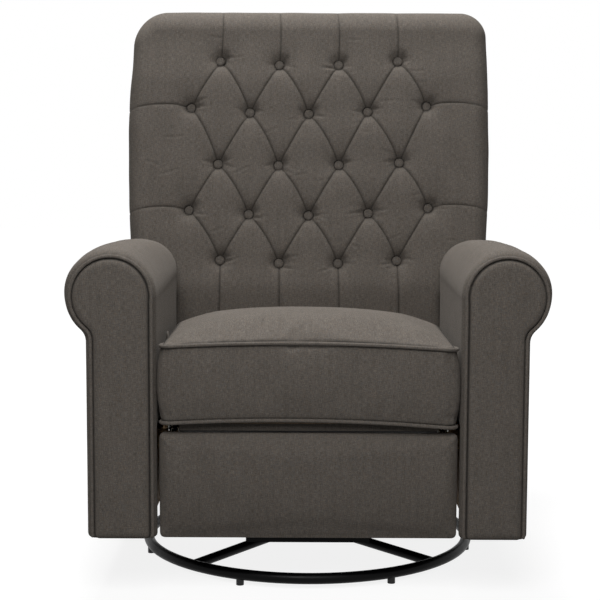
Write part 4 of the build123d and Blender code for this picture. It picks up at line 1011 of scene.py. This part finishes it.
def swell(piece, pinned, cap, looseness):
    """Swells a closed cushion with Cloth; pinned says which points stay, cap is in millimetres."""
    group = piece.vertex_groups.new(name="pinned")
    group.add([index for index, stays in enumerate(pinned) if stays], 1.0, "REPLACE")
    before = points_of(piece.data.vertices)
    cloth = piece.modifiers.new("swelling", "CLOTH")
    settings = {"quality": 5, "mass": 0.3, "tension_stiffness": STIFFNESS, "compression_stiffness": STIFFNESS,
                "shear_stiffness": STIFFNESS / 3, "bending_stiffness": 0.5, "shrink_min": -looseness,
                "use_pressure": True, "uniform_pressure_force": PRESSURE, "vertex_group_mass": "pinned"}
    for name, value in settings.items():
        setattr(cloth.settings, name, value)
    cloth.settings.effector_weights.gravity = 0.0
    cloth.collision_settings.use_collision = False
    cloth.point_cache.frame_start, cloth.point_cache.frame_end = 1, SWELL_FRAMES
    for frame_number in range(1, SWELL_FRAMES + 1):
        scene.frame_set(frame_number)
    shown = piece.evaluated_get(bpy.context.evaluated_depsgraph_get()).data
    change = points_of(shown.vertices) - before
    scene.frame_set(1)
    piece.modifiers.clear()
    piece.vertex_groups.clear()
    length = np.linalg.norm(change, axis=1)
    limit = np.minimum(1.0, cap * MM / np.maximum(length, 1e-9))
    piece.data.vertices.foreach_set("co", (before + change * limit[:, None]).ravel())
    piece.data.update()
    print(piece.name, "swelled by up to", round(float((length * limit).max()) / MM, 1), "mm")


def subdivide_once(piece):
    """One level of subdivision, made the piece's own mesh; gives its places in millimetres."""
    piece.modifiers.new("finer", "SUBSURF").levels = 1
    apply_modifiers(piece)
    return points_of(piece.data.vertices) / MM


print("a cushion swells over", SWELL_FRAMES, "frames")

# %% [markdown]
# ## Seat cushion
#
# The seat is a box cushion: a crowned top panel, a border as high as a hand and two
# welts. Its crown rises steeply behind the front welt and sinks towards the back. The
# welts aren't level: they bow up in the middle and droop at one end, as they do on a
# chair that has been sat in. A pocket underneath takes the frame and its springs.

# %% Seat cushion shape
SEAT_HALF, SEAT_FRONT, SEAT_BACK, SEAT_CORNER = 251.5, 446.0, -78.0, 20.0
CROWN_PLACES = (-447.0, -435.0, -420.0, -400.0, -370.0, -340.0, -310.0, -250.0, -150.0, -50.0, 0.0, 78.0)
CROWN_RISES = (0.0, 12.5, 22.5, 30.0, 36.0, 39.0, 40.0, 37.5, 27.0, 15.5, 9.0, -6.0)
BORDER_HEIGHT, BORDER_BULGE, CORNER_BULGE = 133.0, 4.0, 8.0
POCKET_LOW, POCKET_TOP = 312.0, 352.0
POCKET_HALF, POCKET_FRONT, POCKET_REAR = 246.6, -435.6, 70.6
# Half width, front and rear, and height of each ring that leads from the border up into the pocket.
POCKET_RINGS = ((248.0, -438.0, 72.0, POCKET_LOW), (POCKET_HALF, POCKET_FRONT, POCKET_REAR, POCKET_LOW),
                (POCKET_HALF, POCKET_FRONT, POCKET_REAR, POCKET_TOP))


def upper_edge(x, y):
    """Height of the seat's upper welt."""
    share = x / SEAT_HALF
    return 442.6 + 9.1 * (1 - share ** 2) - 2.1 * share - 16.0 * smooth(-120.0, 78.0, y)


def lower_edge(x, y):
    """Height of the seat's lower welt."""
    share = x / SEAT_HALF
    sides = smooth(-400.0, -250.0, y)
    return (309.5 + 9.5 * (1 - share ** 2) - 3.2 * share) * (1 - sides) + 315.0 * sides


columns = both_sides(even_steps(0.0, SEAT_HALF - 24.0, 6.5), SEAT_HALF - rim_steps(24.0, 8))
rows = joined(even_steps(SEAT_BACK, SEAT_FRONT - 30.0, 6.5), SEAT_FRONT - rim_steps(30.0, 9))
x, forward = grid_places(columns, rows)
x, forward, rim, _ = press_corners(x, forward, SEAT_HALF, SEAT_FRONT, SEAT_CORNER)
y = -forward
spread = np.maximum(1.0 - np.abs(x / (SEAT_HALF + 0.5)) ** 2.8, 0.0) ** 0.8
z = upper_edge(x, y) + (np.interp(y, CROWN_PLACES, CROWN_RISES) - 3.0 * smooth(0.0, 60.0, rim)) * spread
bm = sheet(np.stack([x, y, z], -1), len(rows), len(columns))
pull_rim(bm, 2, lambda place: float(lower_edge(place.x, place.y)), np.linspace(0.0, 1.0, 21)[1:])
places = points_of(bm.verts)
on_top, (x, y, z) = np.arange(len(places)) < len(x), places.T
share = np.clip((z - lower_edge(x, y)) / (upper_edge(x, y) - lower_edge(x, y)), 0, 1)
bulge = np.where(on_top, 0.0, np.sin(math.pi * share) ** 0.7)
outward_x = np.sign(x) * smooth(SEAT_HALF - 14.0, SEAT_HALF, np.abs(x))
near_front = 1.0 - smooth(-SEAT_FRONT + 4.0, -SEAT_FRONT + 24.0, y)
outward_y = smooth(SEAT_FRONT - 14.0, SEAT_FRONT, -y)
set_places(bm, np.stack([x + bulge * outward_x * (BORDER_BULGE + CORNER_BULGE * near_front),
                         y - bulge * outward_y * BORDER_BULGE, z], -1))
from_seam = np.concatenate([rim, (np.minimum(share, 1.0 - share) * BORDER_HEIGHT)[~on_top]])
print("seat shape", len(places), "points")

# %% Seat cushion
half, front, rear = SEAT_HALF, -SEAT_FRONT, -SEAT_BACK
for next_half, next_front, next_rear, height in POCKET_RINGS:
    stretch = (next_rear - next_front) / (rear - front)
    tuck_rim(bm, lambda x, y, z: (x * (next_half / half), next_front + (y - front) * stretch, height))
    half, front, rear = next_half, next_front, next_rear
close_rim(bm)
seat_pad = add_piece("seat_pad", bm, linen)
# Painted shade: the cloth is darkened along the seams of both welts.
paint_crease_shade(seat_pad, 0.9 * np.exp(-(from_seam / 5.2) ** 4))
x, y, z = (points_of(seat_pad.data.vertices) / MM).T
on_seam = np.abs(z - upper_edge(x, y)) < 1.0
on_seam &= (np.abs(x) > SEAT_HALF - 8.0) | (y < -SEAT_FRONT + 8.0)
hidden_part = z < lower_edge(x, y) + 1.0
hidden_part |= (z < POCKET_TOP + 0.5) & (np.abs(x) < POCKET_HALF + 0.1) & (y > POCKET_FRONT - 0.1)
swell(seat_pad, on_seam | hidden_part | (y > 70.0), 7.0, 0.01)
places = subdivide_once(seat_pad)
arm_side = 266.0 - 9.5 * smooth(-432.0, -405.0, places[:, 1])
places[:, 0] = np.clip(places[:, 0], -arm_side, arm_side)
seat_pad.data.vertices.foreach_set("co", (places * MM).ravel())
declare(seat_pad, "chair", "upholstery", "seat_cushion", fill=0.8)

# %% [markdown]
# ## Seat welts
#
# A welt is a strip of the cover folded round a cord and sewn into the seam. It is a
# tube that follows the seam line round the front and along both sides. Beside the arms
# it is squeezed in and down a little.

# %% Seat welts
WELT_RADIUS, WELT_STAND = 3.3, 2.8
WELT_REAR = 58.0
SQUEEZED_IN, SQUEEZED_DOWN = 4.5, 2.5


def seat_path(out):
    """Places (x, y) along the seat's sides and front, standing out from its outline."""
    side_x, front_y, corner = SEAT_HALF + out, -SEAT_FRONT - out, SEAT_CORNER + out
    right = [(side_x, y) for y in np.linspace(WELT_REAR, front_y + corner, 55)[:-1]]
    turned = [(side_x - corner + corner * math.cos(angle), front_y + corner - corner * math.sin(angle))
              for angle in np.linspace(0.0, QUARTER_TURN, 9)[:-1]]
    front = [(x, front_y) for x in np.linspace(side_x - corner, 0.0, 34)]
    half = right + turned + front
    return half + [(-x, y) for x, y in reversed(half[:-1])]


bm = bmesh.new()
for height in (upper_edge, lower_edge):
    path = []
    for x, y in seat_path(WELT_STAND):
        squeezed = float(smooth(-SEAT_FRONT + 15.0, -SEAT_FRONT + 60.0, y))
        path.append((x - math.copysign(SQUEEZED_IN * squeezed, x), y,
                     float(height(x, y)) - SQUEEZED_DOWN * squeezed))
    tube(bm, path, WELT_RADIUS, sides=12)
seat_cords = add_piece("seat_cords", bm, piping_linen)
declare(seat_cords, "chair", "upholstery", "seat_welts")

# %% [markdown]
# ## Footrest panel
#
# The footrest is a plywood board with a thin pad and the cover pulled round its edge.
# The pad is a patch with four round corners, turned away at its rim, pulled round the
# board and closed in front of it, so the board still shows from behind. Its face falls
# back towards the floor.

# %% Footrest panel
PANEL_HALF, PANEL_FRONT, PANEL_EDGE = 256.6, -446.5, 13.0
FALL_FROM, PANEL_FALL = 230.0, 18.0
panel_low, panel_high = (corner[2] for corner in box_mm("footrest_pad"))
(_, board_front, _), (board_half, board_rear, board_top) = box_mm("footrest_board")
panel_low, panel_high = panel_low - 3.0, panel_high + 0.5
panel_middle = (panel_low + panel_high) / 2
panel_rear = board_rear - 1.0
bm = padded_board(PANEL_HALF, panel_low, panel_high, 9.0, PANEL_FRONT, panel_rear, PANEL_EDGE, 1.5)
share_x = (board_half + 0.4) / PANEL_HALF
share_z = (board_top + 0.4 - panel_middle) / (panel_high - panel_middle)
tuck_rim(bm, lambda x, y, z: (x * share_x, panel_rear, panel_middle + (z - panel_middle) * share_z))
tuck_rim(bm, lambda x, y, z: (x, board_front - 0.4, z))
close_rim(bm)
footrest_panel = add_piece("footrest_panel", bm, linen)
swell(footrest_panel, points_of(footrest_panel.data.vertices)[:, 1] / MM > -434.0, 4.5, 0.004)
places = subdivide_once(footrest_panel)
below = np.clip((FALL_FROM - places[:, 2]) / (FALL_FROM - panel_low), 0.0, 1.0)
places[:, 1] += PANEL_FALL * below ** 2 * np.clip((-428.0 - places[:, 1]) / 22.0, 0.0, 1.0)
footrest_panel.data.vertices.foreach_set("co", (places * MM).ravel())
declare(footrest_panel, "footrest", "upholstery", "footrest_pad", fill=0.7)

# %% [markdown]
# ## Arms: one outline for all their pieces
#
# The arm is a tall panel under a big roll. Cover, front panel and piping all follow one
# outline: straight up the inside, over the roll, into a neck under it and straight down
# the outside. It is drawn once, as two rows of places from the bottom to the top of the
# roll, so that a piece can stand in or out from it and any level can be bridged.

# %% Arm outline
ARM_FRONT, ARM_REAR, ARM_LOW = -441.0, 80.0, 110.5
ARM_INNER, ARM_OUTER = 267.5, 371.0
ROLL_X, ROLL_Z, ROLL_RADIUS = 336.5, 529.0, 69.5
NECK_ROUND, FOOT_CORNER = 28.0, 7.0
COVER_STAND = 7.5
FOOT_RISE = 0.1
HALF_ROWS = 150


def spaced(path, count):
    """A path of places walked at even steps."""
    path = np.array(path)
    walked = np.concatenate(([0.0], np.cumsum(np.hypot(*np.diff(path, axis=0).T))))
    steps = np.linspace(0.0, walked[-1], count)
    return np.stack([np.interp(steps, walked, path[:, 0]), np.interp(steps, walked, path[:, 1])], -1)


def arc(x, z, radius, start, end, count):
    """Places on a circle about (x, z) between two angles, counted from +X towards +Z."""
    return [(x + radius * math.cos(angle), z + radius * math.sin(angle))
            for angle in np.linspace(start, end, count)]


def arm_sides(out, taper=0.0):
    """The arm's inner and outer side as rows of places (x, z), from the bottom's middle to the top."""
    inner, outer = ARM_INNER - out + taper, ARM_OUTER + out
    radius = ROLL_RADIUS + out - taper
    low = ARM_LOW + FOOT_RISE * (COVER_STAND - out)
    start, corner_z = ((inner + outer) / 2, low), low + FOOT_CORNER
    below = math.asin(math.sqrt(radius ** 2 - (ROLL_X - inner) ** 2) / radius)
    neck_x = outer + NECK_ROUND
    neck_z = ROLL_Z - math.sqrt((radius + NECK_ROUND) ** 2 - (neck_x - ROLL_X) ** 2)
    lean = math.atan2(ROLL_Z - neck_z, ROLL_X - neck_x)
    inner_side = [start] + arc(inner + FOOT_CORNER, corner_z, FOOT_CORNER, -QUARTER_TURN, -math.pi, 9)
    inner_side += arc(ROLL_X, ROLL_Z, radius, math.pi + below, QUARTER_TURN, 50)
    outer_side = [start] + arc(outer - FOOT_CORNER, corner_z, FOOT_CORNER, -QUARTER_TURN, 0.0, 9)
    outer_side += arc(neck_x, neck_z, NECK_ROUND, math.pi, lean, 9)
    outer_side += arc(ROLL_X, ROLL_Z, radius, lean - math.pi, QUARTER_TURN, 60)[1:]
    return spaced(inner_side, HALF_ROWS), spaced(outer_side, HALF_ROWS)


def arm_loop(out, taper=0.0):
    """The arm's whole outline, up the inner side and down the outer one."""
    inner_side, outer_side = arm_sides(out, taper)
    return np.concatenate([inner_side, outer_side[-2:0:-1]])


outline = arm_loop(COVER_STAND)
print("arm outline from", outline.min(axis=0).round(1), "to", outline.max(axis=0).round(1))

# %% [markdown]
# ## Arm covers
#
# The cover runs from the front piping to the back, a little smaller at its rear end,
# which leans with the back. Its front edge rolls into the piping and its rear edge is
# rounded. Between the seat and the arm the cover ends above the bare frame, so the
# inner face steps back below that line. Where the frame reaches back under the chair's
# back, two thin padded boards cover it. The left arm is the right one mirrored.

# %% Arm stations
ARM_LENGTH = ARM_REAR - ARM_FRONT
ARM_TAPER, TAPER_LENGTH = 13.0, 581.0
LEAN_HEIGHT = 472.0
EDGE_BACK, EDGE_ROUND, EDGE_SUNK, REAR_ROUND = 1.0, 15.0, -1.0, 12.0
BARREL = 11.0
LINING_HEIGHT = 306.0
BARE_FRAME_X, LINING_X = 281.0, 260.0
QUARTER_TOP, QUARTER_CLOTH = 285.0, 4.0
LEFT_FULLER = 3.0


def arm_stations():
    """Places along the arm, and how far the cover stands out from the outline there."""
    front = [(EDGE_BACK + EDGE_ROUND * (1 - math.cos(angle)),
              EDGE_SUNK + (COVER_STAND - EDGE_SUNK) * math.sin(angle))
             for angle in np.linspace(0.0, QUARTER_TURN, 8)[:-1]]
    middle = [(along, COVER_STAND)
              for along in np.linspace(EDGE_BACK + EDGE_ROUND, ARM_LENGTH - REAR_ROUND, 74)]
    rear = [(ARM_LENGTH - REAR_ROUND * (1 - math.sin(angle)),
             COVER_STAND - REAR_ROUND * 0.8 * (1 - math.cos(angle)))
            for angle in np.linspace(0.0, QUARTER_TURN, 7)[1:]]
    return front + middle + rear


print(len(arm_stations()), "stations along an arm")

# %% Arm covers
def arm_cover_mesh(seed):
    """A bmesh of the right arm's cover."""
    bm = bmesh.new()
    rings = []
    for along, out in arm_stations():
        x, z = arm_loop(out, ARM_TAPER * along / TAPER_LENGTH).T
        rear = ARM_REAR + math.tan(BACK_LEAN) * np.maximum(z - LEAN_HEIGHT, 0.0)
        y = ARM_FRONT + along / ARM_LENGTH * (rear - ARM_FRONT)
        rings.append([bm.verts.new(place) for place in zip(x, y, z)])
    bridge(bm, rings)
    for ring in (rings[0], rings[-1]):
        inner, outer = ring[:HALF_ROWS], [ring[0]] + ring[HALF_ROWS:][::-1] + [ring[HALF_ROWS - 1]]
        for index in range(HALF_ROWS - 1):
            corners = list(dict.fromkeys((inner[index], outer[index], outer[index + 1], inner[index + 1])))
            if len(corners) > 2:
                bm.faces.new(corners)
    places, normals = places_and_normals(bm, 2, 1.0)
    x, y, z = places.T
    free = smooth(ARM_INNER - 6.0, ARM_INNER + 14.0, x) * smooth(ARM_FRONT + 4.0, ARM_FRONT + 60.0, y)
    free *= 1.0 - smooth(ARM_REAR - 30.0, ARM_REAR - 8.0, y)
    uneven = 1.3 * unevenness(places, 95.0, seed) + 0.5 * unevenness(places, 38.0, seed + 1)
    share = np.clip((y - ARM_FRONT) / ARM_LENGTH, 0.0, 1.0)
    barrel = BARREL * np.sin(math.pi * share ** 0.75) ** 0.7 * smooth(ROLL_Z - 25.0, ROLL_Z + 45.0, z)
    places += normals * (uneven * free + barrel * smooth(ROLL_X - 70.0, ROLL_X - 20.0, x))[:, None]
    bare = 1.0 - smooth(LINING_HEIGHT - 3.0, LINING_HEIGHT + 3.0, z)
    bare *= smooth(ARM_FRONT + 14.0, ARM_FRONT + 22.0, y)
    places[:, 0] += (BARE_FRAME_X - LINING_X) * bare * np.clip(1.0 - (x - LINING_X) / 30.0, 0.0, 1.0)
    set_places(bm, places)
    return bm


def add_board(bm, board, order, shift):
    """Adds a closed board to a mesh, with its axes taken in a new order and moved by a shift."""
    close_rim(board)
    set_places(board, points_of(board.verts)[:, order] + np.array(shift))
    mesh = bpy.data.meshes.new("board")
    board.to_mesh(mesh)
    board.free()
    bm.from_mesh(mesh)
    bpy.data.meshes.remove(mesh)


def line_frame_end(bm):
    """Covers the outer side and the rear end of the frame where it reaches back under the chair's back."""
    (low_x, _, low_z), (high_x, high_y, _) = box_mm("arm_frame_right")
    low_z, cloth_x = low_z + 0.5, high_x + QUARTER_CLOTH
    length, width = high_y - ARM_REAR + 8.0, cloth_x - low_x
    outside = padded_board(length / 2, low_z, QUARTER_TOP, 3.0, cloth_x, high_x, 3.0)
    add_board(bm, outside, (1, 0, 2), (0.0, high_y + 1.5 - length / 2, 0.0))
    behind = padded_board(width / 2, low_z, QUARTER_TOP, 3.0, high_y + 1.6, high_y + 0.2, 1.4)
    add_board(bm, behind, (0, 1, 2), (low_x + width / 2, 0.0, 0.0))


for side_name, seed in (("right", 11), ("left", 23)):
    bm = arm_cover_mesh(seed)
    line_frame_end(bm)
    if side_name == "left":
        for vertex in bm.verts:
            vertex.co.x += LEFT_FULLER * float(smooth(330.0, 370.0, vertex.co.x))
        mirrored(bm)
    arm_pad = add_piece("arm_pad_" + side_name, bm, linen)
    declare(arm_pad, "chair", "upholstery", "arm_cover_" + side_name, fill=0.75)

# %% [markdown]
# ## Arm front panels and their piping
#
# The front of each arm is a padded panel inside a run of piping, which goes up one side,
# over the roll and down the other. The panel's rows run from one side of the outline to
# the other, close together near the sides, and its depth comes from the distance to the
# outline: a soft round rim and a slight crown.

# %% Arm front panels
PANEL_FACE, PANEL_RIM, PANEL_ROUND = -453.6, -444.8, 14.0
PANEL_STAND = -4.2
panel_inner, panel_outer = arm_sides(PANEL_STAND)
outline = arm_loop(PANEL_STAND)
shares = (1 - np.cos(np.linspace(0.0, math.pi, 37))) / 2
grid = panel_inner[1:-1, None, :] + (panel_outer - panel_inner)[1:-1, None, :] * shares[None, :, None]
x, z = grid.reshape(-1, 2).T
rim = to_line(x, z, np.concatenate([outline, outline[:1]]))[0]
y = PANEL_FACE + turned_away(rim, PANEL_ROUND, PANEL_RIM - PANEL_FACE) - 1.4 * smooth(8.0, 50.0, rim)
for side_name, seed in (("right", 31), ("left", 37)):
    places = np.stack([x, y, z], -1)
    places[:, 1] += 0.7 * unevenness(places, 80.0, seed) * smooth(2.0, 20.0, rim)
    bm = sheet(places, HALF_ROWS - 2, len(shares))
    pull_rim(bm, 1, ARM_FRONT + EDGE_BACK + 1.0, (0.3, 0.65, 1.0))
    close_rim(bm)
    if side_name == "left":
        mirrored(bm)
    arm_panel = add_piece("arm_face_" + side_name, bm, linen)
    # Painted shade: a dark line along the panel's rim beside the piping.
    paint_crease_shade(arm_panel, np.append(0.9 * np.exp(-(rim / 1.6) ** 2), 0.9))
    declare(arm_panel, "chair", "upholstery", "arm_front_panel_" + side_name, fill=0.6)

# %% Arm piping
PIPING_RADIUS, PIPING_Y = 3.1, ARM_FRONT - 3.4
line = arm_loop(0.0)
line = line[line[:, 1] > ARM_LOW + FOOT_RISE * COVER_STAND + 0.5]
gap = int(np.argmax(np.linalg.norm(np.diff(line, axis=0, append=line[:1]), axis=1)))
line = np.roll(line, -gap - 1, axis=0)
for side_name in ("right", "left"):
    bm = bmesh.new()
    tube(bm, [(x, PIPING_Y, z) for x, z in line], PIPING_RADIUS, sides=12)
    if side_name == "left":
        mirrored(bm)
    arm_cord = add_piece("arm_cord_" + side_name, bm, piping_linen)
    declare(arm_cord, "chair", "upholstery", "arm_piping_" + side_name)

# %% [markdown]
# ## Band, rear panel, flap and tab
#
# Four small covered pieces close the chair: a band under the seat's front rail, darkened
# with painted shade, a padded panel between the arms' rear ends, a flap that hangs from
# the back's lower edge and the pull tab of the footrest beside the seat.

# %% Small covered pieces
(_, low_y, low_z), (high_x, high_y, high_z) = box_mm("seat_front_band")
bm = padded_board(high_x, low_z, high_z, 2.0, low_y + 2.0, high_y, 1.5)
close_rim(bm)
seat_band = add_piece("seat_band", bm, linen)
# Painted shade: the whole band is darkened evenly, for the shade under the seat's front.
paint_crease_shade(seat_band, np.full(len(seat_band.data.vertices), 0.35))
declare(seat_band, "chair", "upholstery", "seat_front_band")

(_, low_y, low_z), (high_x, high_y, high_z) = box_mm("rear_panel")
bm = padded_board(high_x, low_z, high_z, 6.0, high_y, low_y, 5.0, 1.0)
close_rim(bm)
rear_board = add_piece("rear_board", bm, linen)
declare(rear_board, "chair", "upholstery", "rear_panel", fill=0.4)

(_, low_y, low_z), (high_x, high_y, high_z) = box_mm("rear_flap")
bm = padded_board(high_x, low_z, high_z, 4.0, high_y, low_y, 2.0)
close_rim(bm)
places = points_of(bm.verts)
hang = smooth(high_z - 5.0, low_z, places[:, 2])
places[:, 1] += 1.6 * hang * unevenness(places * (1.0, 0.0, 0.4), 90.0, 5)
hem = smooth(low_z + 17.0, low_z + 15.0, places[:, 2])
places[:, 1] += 0.7 * hem * np.sign(places[:, 1] - (low_y + high_y) / 2)
set_places(bm, places)
hanging_flap = add_piece("hanging_flap", bm, linen)
declare(hanging_flap, "rear_flap", "upholstery", "rear_flap", fill=0.1)

(low_x, low_y, low_z), (high_x, high_y, high_z) = box_mm("release_tab")
tab_half = (high_y - low_y) / 2
bm = padded_board(tab_half, low_z, high_z, 6.0, low_x, high_x, 0.8, step=2.0)
close_rim(bm)
across, depth, up = points_of(bm.verts).T
edge_gap = np.minimum(tab_half - np.abs(across), np.minimum(up - low_z, high_z - up))
depth = depth + 0.25 * np.exp(-((edge_gap - 3.5) / 0.8) ** 2) * np.sign((low_x + high_x) / 2 - depth)
set_places(bm, np.stack([depth, (high_y + low_y) / 2 + across, up], -1))
pull_tab = add_piece("pull_tab", bm, piping_linen)
declare(pull_tab, "release", "upholstery", "release_tab")
